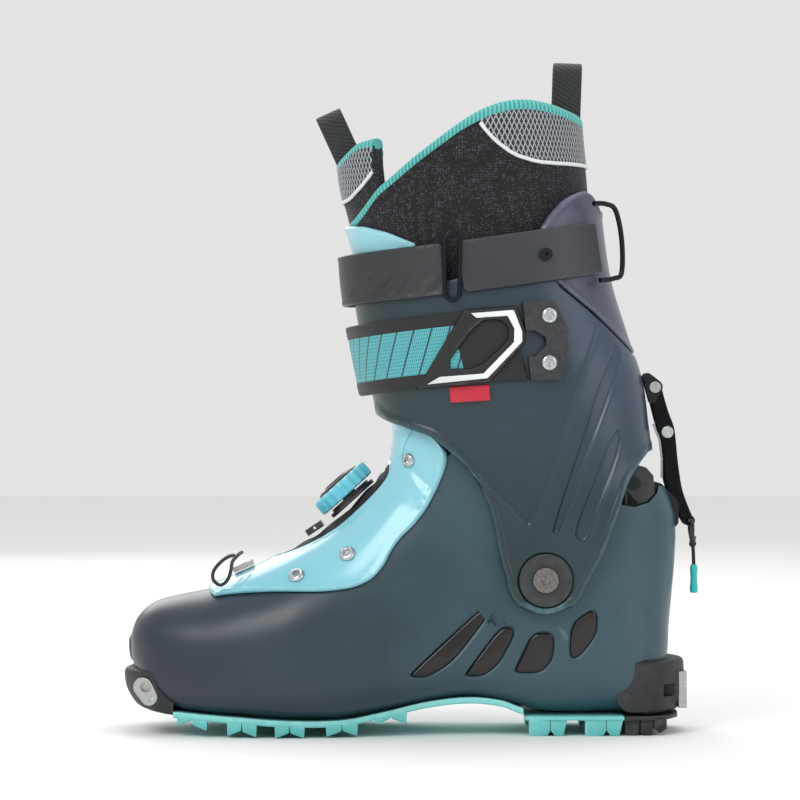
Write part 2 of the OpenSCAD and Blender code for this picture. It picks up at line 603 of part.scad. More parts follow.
// Upper edge of the liner's collar.
COLLAR = [[-40, 247], [-24, 250], [-19, 262], [-10, 268.5], [1.5, 278.5], [17, 290], [30, 299],
  [43, 305], [56, 307.5], [70, 306], [78, 303.5], [90, 300]];
function edge_collar(x) = along(COLLAR, x);
module liner_upper() color("#1d1b21") {
  bearings = [for (i = [0:35]) i * 10];
  skin(columns(INNER, inner_top_z, bearings, function(x) soft_low(x), function(x) edge_collar(x), -2.6, 6),
    columns(INNER, inner_top_z, bearings, function(x) soft_low(x), function(x) edge_collar(x),
      -2.6 - foam_high, 6), closed = true);
}
TONGUE_TOP = [[-40, 247.2], [-30, 246.8], [-22, 246.2], [-10, 243], [-0.5, 239], [4.5, 237], [20, 232]];
function edge_tongue(x) = along(TONGUE_TOP, x);
module tongue_upper() color(BLUE) {
  bearings = [for (i = [0:16]) 125 + 110 * i / 16];
  skin(columns(INNER, inner_top_z, bearings, function(x) soft_low(x), function(x) edge_tongue(x), 0, 6),
    columns(INNER, inner_top_z, bearings, function(x) soft_low(x), function(x) edge_tongue(x), -2, 6));
}
LINER_TONGUE_TOP = [[-40, 277], [-34, 278], [-24.5, 287], [-15, 289], [-7, 288], [-0.5, 284], [5, 281],
  [20, 276]];
function edge_liner_tongue(x) = along(LINER_TONGUE_TOP, x);
function edge_above_liner(x) = edge_collar(x) + 1.6;
module liner_tongue() color("#57b9b4") {
  bearings = [for (i = [0:12]) 142 + 76 * i / 12];
  skin(columns(INNER, inner_top_z, bearings, function(x) edge_above_liner(x),
      function(x) edge_liner_tongue(x), -2.6, 4),
    columns(INNER, inner_top_z, bearings, function(x) edge_above_liner(x),
      function(x) edge_liner_tongue(x), -9, 4));
}

// Folded webbing loop: a flat strip bent into a hairpin across the boot, standing on its two ends.
loop_t = 1.2;
module loop_strap(half_gap, top, width) {
  rotate([90, 0, 90]) translate([0, 0, -width / 2]) linear_extrude(width) difference() {
    hull() {
      translate([-half_gap, 0]) square([2 * half_gap, 0.01]);
      translate([0, top - half_gap]) circle(r = half_gap, $fn = 40);
    }
    hull() {
      translate([-half_gap + loop_t, -1]) square([2 * (half_gap - loop_t), 0.01]);
      translate([0, top - half_gap]) circle(r = half_gap - loop_t, $fn = 40);
    }
  }
}
module front_pull_loop() color("#1a1c1e") translate([-27, 0, 277]) rotate([0, -24.6, 0])
  loop_strap(5.5, 29, 13);
module rear_pull_loop() color("#1a1c1e") translate([78, 0, 296]) rotate([0, 2, 0])
  loop_strap(6, 32, 14);

// ---------- straps ----------
function power_top(x) = 235.5 + 0.11 * x + 0.0004 * x * x;
function power_low(x) = 210.3 + 0.095 * x + 0.0005 * x * x;
function finger_top(x) = 201.6 + 0.125 * x - 0.0003 * x * x;
function finger_low(x) = 167 + 0.12 * x - 0.0008 * x * x;

module strap_skin(from, to, n, low, high, gap, t, front) {
  bearings = [for (i = [0:n]) from + (to - from) * i / n];
  skin(columns(CUFF, cuff_top_z, bearings, low, high, gap + t, 3, front),
    columns(CUFF, cuff_top_z, bearings, low, high, gap, 3, front));
}
module power_strap() color("#45484c") strap_skin(bearing(18.5, 225), 318, 30,
  function(x) power_low(x), function(x) power_top(x), 0.5, strap_t, 3.2);
module power_strap_rear() color("#45484c") strap_skin(30, bearing(25.5, 225), 16,
  function(x) power_low(x), function(x) power_top(x), 0.6, strap_t - 0.1, 0);
module finger_strap() color("#2f8f90") strap_skin(bearing(50, 190), 290, 28,
  function(x) finger_low(x), function(x) finger_top(x), 0.4, web_t, 4);

// Flat piece lying on the outer side of the cuff, by side-view outline.
module on_cuff(x, z, gap, t, tilt) {
  translate([x, -cuff_y(x, z) - gap, z]) rotate([0, 0, tilt]) rotate([90, 0, 0]) linear_extrude(t)
    translate([-x, -z]) children();
}
module ring_buckle() color("#26282b") on_cuff(22, 225, 3.3, 2, -2) difference() {
  hull() {
    translate([21.6, 238.5]) circle(r = 4.6, $fn = 32);
    translate([21.6, 213.5]) circle(r = 4.6, $fn = 32);
  }
  hull() {
    translate([21.6, 238]) circle(r = 2.6, $fn = 32);
    translate([21.6, 214]) circle(r = 2.6, $fn = 32);
  }
}
module rear_buckle() color("#1c1d1f") tube(smooth([[93, -34, 220], [100, -30, 221], [104, -27, 224],
  [104, -27, 240], [101, -27.5, 254], [96, -30, 257], [90, -34, 257]], 5), 1.2, 8);
module strap_snap() color("#2a2d30") on_cuff(66.5, 232, 3.6, 1.5, 8)
  translate([66.5, 232]) difference() {
    circle(r = 3, $fn = 32);
    circle(r = 1, $fn = 24);
  }

OVERLAY = [[27, 205.4], [52.5, 207.3], [56.5, 195.5], [56.5, 189.5], [39, 170.4], [4.3, 167]];
OVERLAY_HOLE = [[34, 199.7], [44.6, 200.6], [48.5, 196.3], [48, 190.5], [34, 177.6], [17.3, 177.1]];
module strap_overlay() color("#1c1e20") intersection() {
  strap_skin(bearing(58, 190), bearing(0, 190), 24, function(x) finger_low(x) - 4,
    function(x) finger_top(x) + 4, 0.5 + web_t, 1.3, 4);
  difference() {
    side(-70, 0) polygon(OVERLAY);
    side(-71, 1) polygon(OVERLAY_HOLE);
  }
  union() for (i = [0:8]) hull() {
    for (k = [0, 1]) translate([2 + 6.5 * (i + k), -70, 160]) cube([0.01, 70, 55]);
  }
}
module anchor_plate() color("#1a1b1d") on_cuff(66, 190, 0.9, 3.4, 8) difference() {
  polygon([[54.7, 209], [70, 209.7], [77, 195.4], [76, 193.4], [76.9, 188], [73, 171.9], [58.6, 171.4]]);
  polygon([[50, 195.4], [60.4, 195.4], [65.8, 192.3], [66.2, 188.6], [60.4, 182.9], [50, 182]]);
  for (z = [202.6, 180]) translate([67.3, z]) circle(r = 1.6, $fn = 32);
}
module anchor_screws() color("silver") on_cuff(66, 190, 4.35, 1.4, 8) for (z = [202.6, 180])
  translate([67.3, z]) difference() {
    circle(r = 3.8, $fn = 40);
    circle(r = 1.5, $fn = 6);
  }
module label() color("#c8203a") on_cuff(30, 166, 0.6, 0.8, -2) polygon([[20.2, 168.4], [39.2, 169.6],
  [39.8, 162], [20.8, 160.9]]);

// ---------- walk lever ----------
lever_x = 121.6;
lever_z = 168.5;
lever_half = 5.5;
pin_r = 2;
module lever_bracket() color("#17181a") for (s = [-1, 1]) translate([0, s * (lever_half + 1.4), 0])
  side(-1.2, 1.2) difference() {
    hull() {
      translate([lever_x, lever_z]) circle(r = 3.8, $fn = 40);
      translate([118, 173.5]) circle(r = 2, $fn = 40);
      translate([120.6, 162]) circle(r = 1.4, $fn = 40);
    }
    translate([lever_x, lever_z]) circle(r = pin_r + fit, $fn = 40);
  }
module lever_pin() color("silver") {
  rod(lever_x, lever_z, pin_r, -9, 9);
  for (y = [-9.9, 9]) rod(lever_x, lever_z, 2.8, y, y + 0.9);
}
LEVER = [[119.6, 166], [120.6, 157], [122, 151.5], [125, 142.5], [126, 133], [126, 123.5], [129, 114],
  [133.6, 105.5], [136.8, 100.8], [141.2, 100.8], [138.5, 109], [135, 118.5], [133, 132.5], [132.3, 141],
  [131.4, 149], [128, 157.5], [125.2, 168]];
eye = [138.9, 102.9];
module walk_lever() color("#141516") difference() {
  union() {
    side(-lever_half, lever_half) polygon(LEVER);
    rod(lever_x, lever_z, 3.6, -lever_half, lever_half);
  }
  rod(lever_x, lever_z, pin_r + fit, -10, 10);
  rod(eye.x, eye.y, 1.2, -10, 10);
  rod(127.9, 146.5, 2.35, -10, 10);
}
module lever_rivet() color("silver") {
  rod(127.9, 146.5, 2.3, -lever_half, lever_half);
  for (y = [-lever_half - 0.8, lever_half + 0.02]) rod(127.9, 146.5, 2.9, y, y + 0.78);
}
module lever_spring() color("silver") side(-3, 3) polygon([[121.6, 150.6], [124.9, 142.3],
  [125.9, 133], [125.9, 124], [125.1, 124], [125.1, 133], [124.1, 142], [120.9, 150.3]]);

// Pull cord: through the eye, knotted, and down to the tab.
CORD = [[140.4, 1.2, 93.6], [140, 4.5, 95.8], [139.8, 7.2, 98.8], [140, 8, 101.5], [139.5, 7, 103],
  [138.9, 4, 102.9], [138.9, 0, 102.9], [138.9, -4, 102.9], [139.5, -7, 103], [140, -8, 101.5],
  [140.2, -7.2, 98.8], [140.4, -4.5, 95.8], [140.6, -1.6, 92.6], [141, -1, 87], [141.2, -1, 81.02]];
cord_r = 0.9;
module pull_cord() color("#101010") tube(smooth(CORD, 2), cord_r, 8);
module pull_tab() color("#1fb0b2") translate([141.2, -1, 67.4]) difference() {
  union() {
    translate([-2.2, -1.4, 0]) cube([4.4, 2.8, 11.4]);
    translate([0, 0, 11.4]) cylinder(r = 1.4, h = 2.1, $fn = 32);
  }
  translate([0, 0, 2.6]) rotate([90, 0, 0]) cylinder(r = 1, h = 6, center = true, $fn = 32);
}

lower_shell();
window_inlays();
toe_bumper();
toe_insert();
toe_screws();
heel_ledge();
heel_insert();
heel_screws();
front_outsole();
heel_outsole();
heel_block();
instep_flap();
flap_screws();
lace_clip();
lace_loop();
gaiter();
lace_guide();
dial_base();
dial_core();
dial_knob();
liner_lower();
insole();
tongue_lower();
lock_bracket();
lock_pin();
lock_block();
lock_rivet();
pivot_bolts();
pivot_washers();
pivot_nuts();
cuff();
spoiler();
pivot_bushes();
tongue_upper();
liner_upper();
liner_tongue();
front_pull_loop();
rear_pull_loop();
power_strap();
power_strap_rear();
ring_buckle();
rear_buckle();
strap_snap();
finger_strap();
strap_overlay();
anchor_plate();
anchor_screws();
label();
lever_bracket();
lever_pin();
walk_lever();
lever_rivet();
lever_spring();
pull_cord();
pull_tab();
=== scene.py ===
# Ski-touring boot, left foot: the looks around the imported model.
import math

import bpy
import numpy as np
from mathutils.geometry import delaunay_2d_cdt
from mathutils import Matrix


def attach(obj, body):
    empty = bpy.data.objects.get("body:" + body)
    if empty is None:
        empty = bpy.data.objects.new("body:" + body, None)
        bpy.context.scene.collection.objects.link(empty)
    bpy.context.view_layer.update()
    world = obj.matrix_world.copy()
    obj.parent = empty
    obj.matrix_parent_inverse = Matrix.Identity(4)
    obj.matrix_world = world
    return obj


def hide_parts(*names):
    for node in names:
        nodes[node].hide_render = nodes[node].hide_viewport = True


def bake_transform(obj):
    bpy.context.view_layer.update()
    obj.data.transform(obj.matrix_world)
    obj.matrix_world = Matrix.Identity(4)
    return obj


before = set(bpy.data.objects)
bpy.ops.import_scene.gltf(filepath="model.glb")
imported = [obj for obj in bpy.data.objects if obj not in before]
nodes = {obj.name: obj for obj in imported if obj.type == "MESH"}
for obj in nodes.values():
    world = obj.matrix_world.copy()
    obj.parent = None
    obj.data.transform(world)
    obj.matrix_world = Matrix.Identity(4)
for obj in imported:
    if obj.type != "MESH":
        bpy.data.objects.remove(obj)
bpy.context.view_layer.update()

# ---------- studio ----------
# A pale sweep of paper, one big soft light high on the left, a weaker one on the right and a
# strip above. The camera looks square at the outer side of the boot from 1.6 m.
MM = 0.001
VIEW_DISTANCE = 1600
VIEW_WIDTH = 384
camera_data = bpy.data.cameras.new("camera")
camera_data.sensor_width = 36
camera_data.lens = camera_data.sensor_width * VIEW_DISTANCE / VIEW_WIDTH
camera = bpy.data.objects.new("camera", camera_data)
camera.location = (-3.4 * MM, -(VIEW_DISTANCE + 42) * MM, 162.2 * MM)
camera.rotation_euler = (math.radians(90), 0, 0)
bpy.context.scene.collection.objects.link(camera)
bpy.context.scene.camera = camera


def srgb(code):
    """Linear colour of an sRGB hex value."""
    parts = [int(code[i:i + 2], 16) / 255 for i in (1, 3, 5)]
    return [c / 12.92 if c <= 0.04045 else ((c + 0.055) / 1.055) ** 2.4 for c in parts] + [1.0]


def add(tree, kind, sockets=None, **settings):
    """A node with its settings; sockets gives each input a value, another node's output or the
    node itself, which stands for its first output."""
    node = tree.nodes.new("ShaderNode" + kind)
    for key, value in settings.items():
        setattr(node, key, value)
    for key, value in (sockets or {}).items():
        if isinstance(value, bpy.types.Node):
            value = value.outputs[0]
        if isinstance(value, bpy.types.NodeSocket):
            tree.links.new(value, node.inputs[key])
        else:
            node.inputs[key].default_value = value
    return node


def new_finish(name):
    """An empty material and its node tree."""
    material = bpy.data.materials.new(name)
    material.use_nodes = True
    material.node_tree.nodes.clear()
    return material, material.node_tree


for light_name, place, aim, size, power in (
        ("key", (-0.9, -1.5, 1.5), (0, 0, 0.15), 1.1, 16),
        ("fill", (1.5, -1.1, 0.7), (0, 0, 0.18), 1.2, 4),
        ("strip", (0.1, 0.3, 1.6), (0, 0, 0.1), 0.9, 6),
        ("back", (-0.5, 1.5, 0.9), (0, 0, 0.2), 1.0, 6)):
    lamp = bpy.data.lights.new(light_name, "AREA")
    lamp.shape = "DISK"
    lamp.size = size
    lamp.energy = power
    light = bpy.data.objects.new(light_name, lamp)
    light.location = place
    direction = np.array(aim) - np.array(place)
    turn = math.atan2(direction[1], direction[0])
    drop = math.acos(-direction[2] / np.linalg.norm(direction))
    light.rotation_euler = (drop, 0, turn - math.pi / 2)
    bpy.context.scene.collection.objects.link(light)
world = bpy.data.worlds.new("soft_white")
world.use_nodes = True
world.node_tree.nodes["Background"].inputs["Color"].default_value = srgb("#fbfbfb")
world.node_tree.nodes["Background"].inputs["Strength"].default_value = 0.8
bpy.context.scene.world = world
bpy.context.scene.view_settings.view_transform = "Standard"

paper, tree = new_finish("paper_sweep")
shader = add(tree, "BsdfPrincipled", {"Base Color": srgb("#f4f4f3"), "Roughness": 0.9})
add(tree, "OutputMaterial", {"Surface": shader})
floor_mesh = bpy.data.meshes.new("floor")
floor_mesh.from_pydata([(-4, -4, 0), (4, -4, 0), (4, 4, 0), (-4, 4, 0)], [], [(0, 1, 2, 3)])
floor_mesh.materials.append(paper)
floor = bpy.data.objects.new("floor", floor_mesh)
bpy.context.scene.collection.objects.link(floor)

# ---------- pull cord ----------
# A loop of braided polyester cord, 1.8 mm thick, through the eye of the lever, knotted under it.
# Its tail ends in a moulded tab of soft teal plastic that a gloved hand can find.
CORD = [(140.4, 1.2, 93.6), (140, 4.5, 95.8), (139.8, 7.2, 98.8), (140, 8, 101.5), (139.5, 7, 103),
        (138.9, 4, 102.9), (138.9, 0, 102.9), (138.9, -4, 102.9), (139.5, -7, 103),
        (140, -8, 101.5), (140.2, -7.2, 98.8), (140.4, -4.5, 95.8), (140.6, -1.6, 92.6),
        (141, -1, 87), (141.2, -1, 81.02)]
CORD_R = 0.9


def row_at(rows, t):
    """Smooth curve through the rows, carried on in a straight line past the last one."""
    rows = np.asarray(rows, float)
    last = len(rows) - 1
    t = np.asarray(t, float)
    i = np.clip(np.floor(t).astype(int), 0, last - 1)
    s = (t - i)[..., None]
    a, b, c, d = rows[np.maximum(i - 1, 0)], rows[i], rows[i + 1], rows[np.minimum(i + 2, last)]
    curve = 0.5 * (2 * b + (c - a) * s + (2 * a - 5 * b + 4 * c - d) * s * s
                   + (3 * b - a - 3 * c + d) * s ** 3)
    past = rows[last] + (rows[last] - rows[last - 1]) * (t[..., None] - last)
    return np.where(t[..., None] > last, past, curve)


def outward_faces(points, faces):
    """Turns the faces of a closed form so that they look outwards."""
    points = np.asarray(points, float)
    volume = sum(np.dot(points[f[0]], np.cross(points[f[k]], points[f[k + 1]]))
                 for f in faces for k in range(1, len(f) - 1))
    return faces if volume > 0 else [f[::-1] for f in faces]


def piece(name, points, faces, finish, body, sharp=35, flat=None):
    """A mesh piece from points in mm, with smooth shading and creases above an angle. flat holds
    the place of each point on the cloth or strap, in mm, for the pattern of its material."""
    mesh = bpy.data.meshes.new(name)
    faces = outward_faces(points, faces)
    mesh.from_pydata((np.asarray(points, float) * MM).tolist(), [], faces)
    if flat is not None:
        layer = mesh.attributes.new("on_cloth", "FLOAT_VECTOR", "POINT")
        layer.data.foreach_set("vector", (np.asarray(flat, float) * MM).astype(np.float32).ravel())
    made = bpy.data.objects.new(name, mesh)
    bpy.context.scene.collection.objects.link(made)
    return finished(made, finish, body, sharp)


def finished(made, finish, body, sharp=35):
    """Shading, material and body of a piece."""
    mesh = made.data
    mesh.validate()
    mesh.polygons.foreach_set("use_smooth", [True] * len(mesh.polygons))
    mesh.set_sharp_from_angle(angle=math.radians(sharp))
    if finish is not None:
        mesh.materials.clear()
        mesh.materials.append(finish)
    if body is not None:
        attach(made, body)
    return made


def tube(path, radius, sides=12, closed=False):
    """Points and faces of a round bar along a path. radius is one number or one for each point."""
    path = np.asarray(path, float)
    count = len(path)
    if closed:
        ahead = np.roll(path, -1, 0) - np.roll(path, 1, 0)
    else:
        ahead = np.gradient(path, axis=0)
    ahead /= np.linalg.norm(ahead, axis=1)[:, None]
    side = np.cross(ahead[0], (0, 0, 1) if abs(ahead[0][2]) < 0.9 else (0, 1, 0))
    radius = np.broadcast_to(radius, count)
    turns = np.arange(sides) * 2 * math.pi / sides
    points = []
    for i in range(count):
        side = side - ahead[i] * np.dot(side, ahead[i])
        side /= np.linalg.norm(side)
        up = np.cross(ahead[i], side)
        ring = np.outer(np.cos(turns), side) + np.outer(np.sin(turns), up)
        points.extend(path[i] + radius[i] * ring)
    faces = ring_faces(count, sides, closed)
    if not closed:
        faces += [tuple(range(sides))[::-1], tuple((count - 1) * sides + k for k in range(sides))]
    return points, faces


def ring_faces(rings, sides, closed=False, start=0):
    """Four-sided faces that join rings of points, each ring closed on itself."""
    faces = []
    for i in range(rings if closed else rings - 1):
        below, above = start + i * sides, start + (i + 1) % rings * sides
        faces += [(below + k, below + (k + 1) % sides, above + (k + 1) % sides, above + k)
                  for k in range(sides)]
    return faces


# Braided polyester: black, no gloss, a fine crossing of yarns about 0.5 mm apart.
braid, tree = new_finish("braided_polyester")
where = add(tree, "TexCoord").outputs["Object"]
yarns = add(tree, "TexVoronoi", {"Vector": where, "Scale": 1 / (0.6 * MM)})
relief = add(tree, "Bump", {"Height": yarns, "Strength": 0.6, "Distance": 0.2 * MM})
tint = add(tree, "MixRGB", {"Fac": yarns, "Color1": srgb("#26272a"), "Color2": srgb("#0b0b0c")})
shader = add(tree, "BsdfPrincipled", {"Base Color": tint, "Roughness": 0.75,
                                      "Sheen Weight": 0.3, "Normal": relief})
add(tree, "OutputMaterial", {"Surface": shader})

cord_line = row_at(CORD, np.linspace(0, len(CORD) - 1, 71))
cord_curve = bpy.data.curves.new("pull_cord", "CURVE")
cord_curve.dimensions = "3D"
cord_curve.bevel_depth = CORD_R * MM
cord_curve.bevel_resolution = 4
cord_curve.use_fill_caps = True
strand = cord_curve.splines.new("POLY")
strand.points.add(len(cord_line) - 1)
for point, spot in zip(strand.points, cord_line):
    point.co = (*(spot * MM), 1)
cord_curve.materials.append(braid)
pull_cord = bpy.data.objects.new("pull_cord_braid", cord_curve)
bpy.context.scene.collection.objects.link(pull_cord)
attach(pull_cord, "lever")
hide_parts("pull_cord")

knot_turn = np.linspace(0, 2 * math.pi, 72, endpoint=False)
knot_path = np.stack([140.7 + 0.9 * np.sin(3 * knot_turn),
                      -0.3 + (1.0 * np.sin(knot_turn) + 1.5 * np.sin(2 * knot_turn)),
                      93.0 + (1.0 * np.cos(knot_turn) - 1.5 * np.cos(2 * knot_turn))], 1)
knot = piece("pull_cord_knot", *tube(knot_path, 0.85, 10, closed=True), braid, "lever")

# Soft moulded plastic: teal, satin, with a fine spark-eroded grain of about 0.3 mm.
tab_plastic, tree = new_finish("moulded_teal_polyurethane")
where = add(tree, "TexCoord").outputs["Object"]
grain = add(tree, "TexNoise", {"Vector": where, "Scale": 1 / (0.35 * MM), "Detail": 2})
relief = add(tree, "Bump", {"Height": grain, "Strength": 0.25, "Distance": 0.08 * MM})
blotch = add(tree, "TexNoise", {"Vector": where, "Scale": 1 / (6 * MM)})
tint = add(tree, "MixRGB", {"Fac": blotch, "Color1": srgb("#17a9ab"),
                            "Color2": srgb("#35c3c0")})
shader = add(tree, "BsdfPrincipled", {"Base Color": tint, "Roughness": 0.38,
                                      "IOR": 1.5, "Normal": relief})
add(tree, "OutputMaterial", {"Surface": shader})
TAB = [(81.3, 1.5), (80.6, 2.2), (78.5, 2.35), (76, 2.1), (73.5, 2.15), (71, 2.4), (68.8, 2.5),
       (67.7, 2.2), (67.3, 1.4)]
tab_points = []
tab_sides = 28
for height, half in TAB:
    for k in range(tab_sides):
        turn = 2 * math.pi * k / tab_sides
        rib = 0.12 * math.cos(2 * math.pi * height / 2.4)
        across = np.sign(math.cos(turn)) * abs(math.cos(turn)) ** 0.7
        along_y = np.sign(math.sin(turn)) * abs(math.sin(turn)) ** 0.7
        tab_points.append((141.2 + (half + rib) * 0.8 * across, -1 + (half + rib) * along_y, height))
tab_faces = ring_faces(len(TAB), tab_sides)
tab_faces += [tuple(range(tab_sides)), tuple(range(len(tab_points) - tab_sides, len(tab_points)))[::-1]]
tab = piece("pull_tab_moulded", tab_points, [f[::-1] for f in tab_faces], tab_plastic, "lever")
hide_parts("pull_tab")

# ---------- lower shell ----------
# The lower boot is one injection moulding of polyamide about 3 mm thick, with a fine matt grain
# and a slight pearl. Four slanting pockets on each side hold rubber panels.
# A row is one cross-section: instep x, z, sole x, z, outer and inner half-width, the exponents
# of its instep and sole halves, and its taper.
SHELL = [
    (-135.5, 47, -134.5, 34, 12, 20, 2.4, 2.4, 0), (-132, 56, -132, 29, 23, 31, 2.5, 2.8, 0),
    (-124, 63, -125, 20, 33, 39, 2.5, 3.6, 0.02), (-111.5, 66.5, -113, 13, 40, 45, 2.5, 4.4, 0.04),
    (-97, 69.5, -97, 10.5, 45, 48.5, 2.5, 5, 0.06), (-82, 75.5, -82, 9.5, 48.5, 50.5, 2.4, 5, 0.08),
    (-68, 81.5, -66, 8, 50.5, 51, 2.3, 5, 0.08), (-55, 87.5, -50, 7.5, 51.5, 50, 2.3, 5, 0.08),
    (-43, 94, -31, 8, 50.5, 48, 2.3, 5, 0.08), (-32.5, 101.5, -11, 11.5, 48, 45.5, 2.3, 5, 0.08),
    (-23.5, 110, 11, 16, 45, 43, 2.4, 5, 0.07), (-16, 118, 31, 18, 42.5, 41, 2.5, 5, 0.06),
    (-11, 124.5, 50, 14.5, 40.5, 39.5, 2.7, 5, 0.04), (-8, 130, 70, 10.6, 39.5, 39, 2.9, 5, 0.02),
    (-6.5, 134, 97, 10.6, 39, 38.5, 3.1, 4.6, 0), (-5.8, 137.5, 122.5, 12, 38.5, 38.5, 3.2, 3.6, 0),
    (-5.4, 140.5, 127.5, 37, 38.5, 38.5, 3.3, 3.2, 0), (-5.2, 143, 128.5, 52, 38.5, 38.5, 3.3, 3, 0),
    (-5, 145.5, 130, 68, 38.5, 38.5, 3.2, 2.9, 0), (-5, 147.5, 131.5, 86, 38.5, 38.5, 3.1, 2.8, 0),
    (-5.2, 149.5, 131.8, 105, 38.5, 38.5, 3, 2.7, 0), (-5.4, 151, 127, 119.5, 38, 38, 2.9, 2.6, 0)]
PIVOT = (66.5, 75.8)


def powered(v, n):
    return np.sign(v) * np.abs(v) ** (2 / n)


def shell_at(t, a, off=0.0):
    """Point of section t at bearing a (180 is the instep, 270 the outer side), moved out by off."""
    t, a, off = np.broadcast_arrays(np.asarray(t, float), a, off)
    r = np.moveaxis(row_at(SHELL, t), -1, 0)
    c, s = np.cos(np.radians(a)), np.sin(np.radians(a))
    n = np.where(c < 0, r[6], r[7])
    u, v = powered(c, n), powered(s, n)
    dx, dz = r[2] - r[0], r[3] - r[1]
    long = np.hypot(dx, dz)
    reach = (long / 2 + off) * u / long
    width = np.where(v > 0, r[5], r[4])
    return np.stack([(r[0] + r[2]) / 2 + dx * reach, (width + off) * v * (1 + r[8] * u),
                     (r[1] + r[3]) / 2 + dz * reach], -1)


def shell_solid(off, first, last, step, sides, nose=0.0):
    """Points and faces of the closed form between two sections; nose rounds off its front end."""
    bearings = np.arange(sides) * 360 / sides
    t = np.linspace(first, last, int(round((last - first) / step)) + 1)
    rings = shell_at(t[:, None], bearings[None, :], off)
    if nose:
        front = rings[0]
        middle = front.mean(0)
        domes = []
        for lean in (80, 62, 45, 28, 13):
            ring = middle + (front - middle) * math.cos(math.radians(lean)) ** 0.8
            ring = ring + np.array([-nose * math.sin(math.radians(lean)), 0, 0])
            domes.append(ring)
        rings = np.concatenate([np.array(domes), rings])
    count = len(rings)
    faces = [f[::-1] for f in ring_faces(count, sides)]
    faces += [tuple(range(sides)), tuple((count - 1) * sides + k for k in range(sides))[::-1]]
    return rings.reshape(-1, 3), faces


def prism(outline, y0, y1):
    """Points and faces of a side-view outline (x, z) made solid from y0 to y1."""
    count = len(outline)
    points = [(x, y, z) for y in (y0, y1) for x, z in outline]
    faces = [(k, (k + 1) % count, count + (k + 1) % count, count + k) for k in range(count)]
    faces += [tuple(range(count))[::-1], tuple(range(count, 2 * count))]
    area = sum(outline[k][0] * outline[(k + 1) % count][1] - outline[(k + 1) % count][0] * outline[k][1]
               for k in range(count))
    return points, (faces if area < 0 else [f[::-1] for f in faces])


def disc(x, z, r, count=64):
    """Outline of a circle in side view."""
    return [(x + r * math.cos(2 * math.pi * k / count), z + r * math.sin(2 * math.pi * k / count))
            for k in range(count)]


def tool(points, faces):
    """A loose mesh object that only serves to cut or join."""
    mesh = bpy.data.meshes.new("tool")
    mesh.from_pydata((np.asarray(points, float) * MM).tolist(), [], faces)
    made = bpy.data.objects.new("tool", mesh)
    bpy.context.scene.collection.objects.link(made)
    return made


def worked(made, *steps):
    """made with each (operation, points and faces) applied in turn; the tools are thrown away."""
    for operation, form in steps:
        other = tool(*form)
        change = made.modifiers.new("work", "BOOLEAN")
        change.operation = operation
        change.solver = "MANIFOLD"
        change.object = other
        bpy.context.view_layer.update()
        result = bpy.data.meshes.new_from_object(
            made.evaluated_get(bpy.context.evaluated_depsgraph_get()))
        made.modifiers.clear()
        made.data = result
        bpy.data.objects.remove(other)
    return made


def swept_zone(r0, first=-25, last=129, reach=150):
    """Side-view sector round the pivot that the cuff sweeps through."""
    inside = [(PIVOT[0] + r0 * math.cos(math.radians(a)), PIVOT[1] + r0 * math.sin(math.radians(a)))
              for a in np.linspace(first, last, 90)]
    outside = [(PIVOT[0] + reach * math.cos(math.radians(a)),
                PIVOT[1] + reach * math.sin(math.radians(a))) for a in np.linspace(last, first, 40)]
    return prism(inside + outside, -60, 60)


def side_to_shell(x, z, off=0.0):
    """Section and bearing on the outer side at which the form passes through (x, z)."""
    x, z = np.asarray(x, float), np.asarray(z, float)
    grid_t, grid_a = np.meshgrid(np.linspace(0.2, 21, 80), np.linspace(182, 358, 60), indexing="ij")
    seen = shell_at(grid_t, grid_a, off)
    nearest = [((seen[..., 0] - px) ** 2 + (seen[..., 2] - pz) ** 2).argmin() for px, pz in zip(x, z)]
    t, a = grid_t.ravel()[nearest], grid_a.ravel()[nearest]
    for _ in range(8):
        here = shell_at(t, a, off)
        dt = (shell_at(t + 0.01, a, off) - here) / 0.01
        da = (shell_at(t, a + 0.1, off) - here) / 0.1
        det = dt[:, 0] * da[:, 2] - da[:, 0] * dt[:, 2]
        det = np.where(np.abs(det) < 0.4, np.inf, det)
        gap_x, gap_z = x - here[:, 0], z - here[:, 2]
        t = t + np.clip((gap_x * da[:, 2] - gap_z * da[:, 0]) / det, -0.3, 0.3)
        a = a + np.clip((gap_z * dt[:, 0] - gap_x * dt[:, 2]) / det, -3, 3)
    return np.stack([t, a], 1)


def rounded(outline, step=1.2, soften=2, closed=True):
    """An outline with its corners cut back a few times and its points set step apart."""
    line = np.asarray(outline, float)
    for _ in range(soften):
        ahead = np.roll(line, -1, 0) if closed else line[1:]
        base = line if closed else line[:-1]
        cut = np.stack([base * 0.8 + ahead * 0.2, base * 0.2 + ahead * 0.8], 1).reshape(-1, 2)
        line = cut if closed else np.concatenate([line[:1], cut, line[-1:]])
    if closed:
        line = np.concatenate([line, line[:1]])
    gone = np.concatenate([[0], np.cumsum(np.linalg.norm(np.diff(line, axis=0), axis=1))])
    count = max(int(gone[-1] / step), 6)
    at = np.linspace(0, gone[-1], count + 1)
    line = np.stack([np.interp(at, gone, line[:, 0]), np.interp(at, gone, line[:, 1])], 1)
    return line[:-1] if closed else line


def inside(loops, points):
    """Which points lie inside the first loop and outside the others."""
    odd = np.zeros(len(points), bool)
    for loop in loops:
        x0, y0 = np.asarray(loop).T
        x1, y1 = np.roll(x0, -1), np.roll(y0, -1)
        for start in range(0, len(points), 4000):
            px, py = points[start:start + 4000, 0][:, None], points[start:start + 4000, 1][:, None]
            rise = np.where(y1 == y0, 1e-12, y1 - y0)
            hits = ((y0 > py) != (y1 > py)) & (px < (x1 - x0) * (py - y0) / rise + x0)
            odd[start:start + 4000] ^= hits.sum(1) % 2 == 1
    return odd


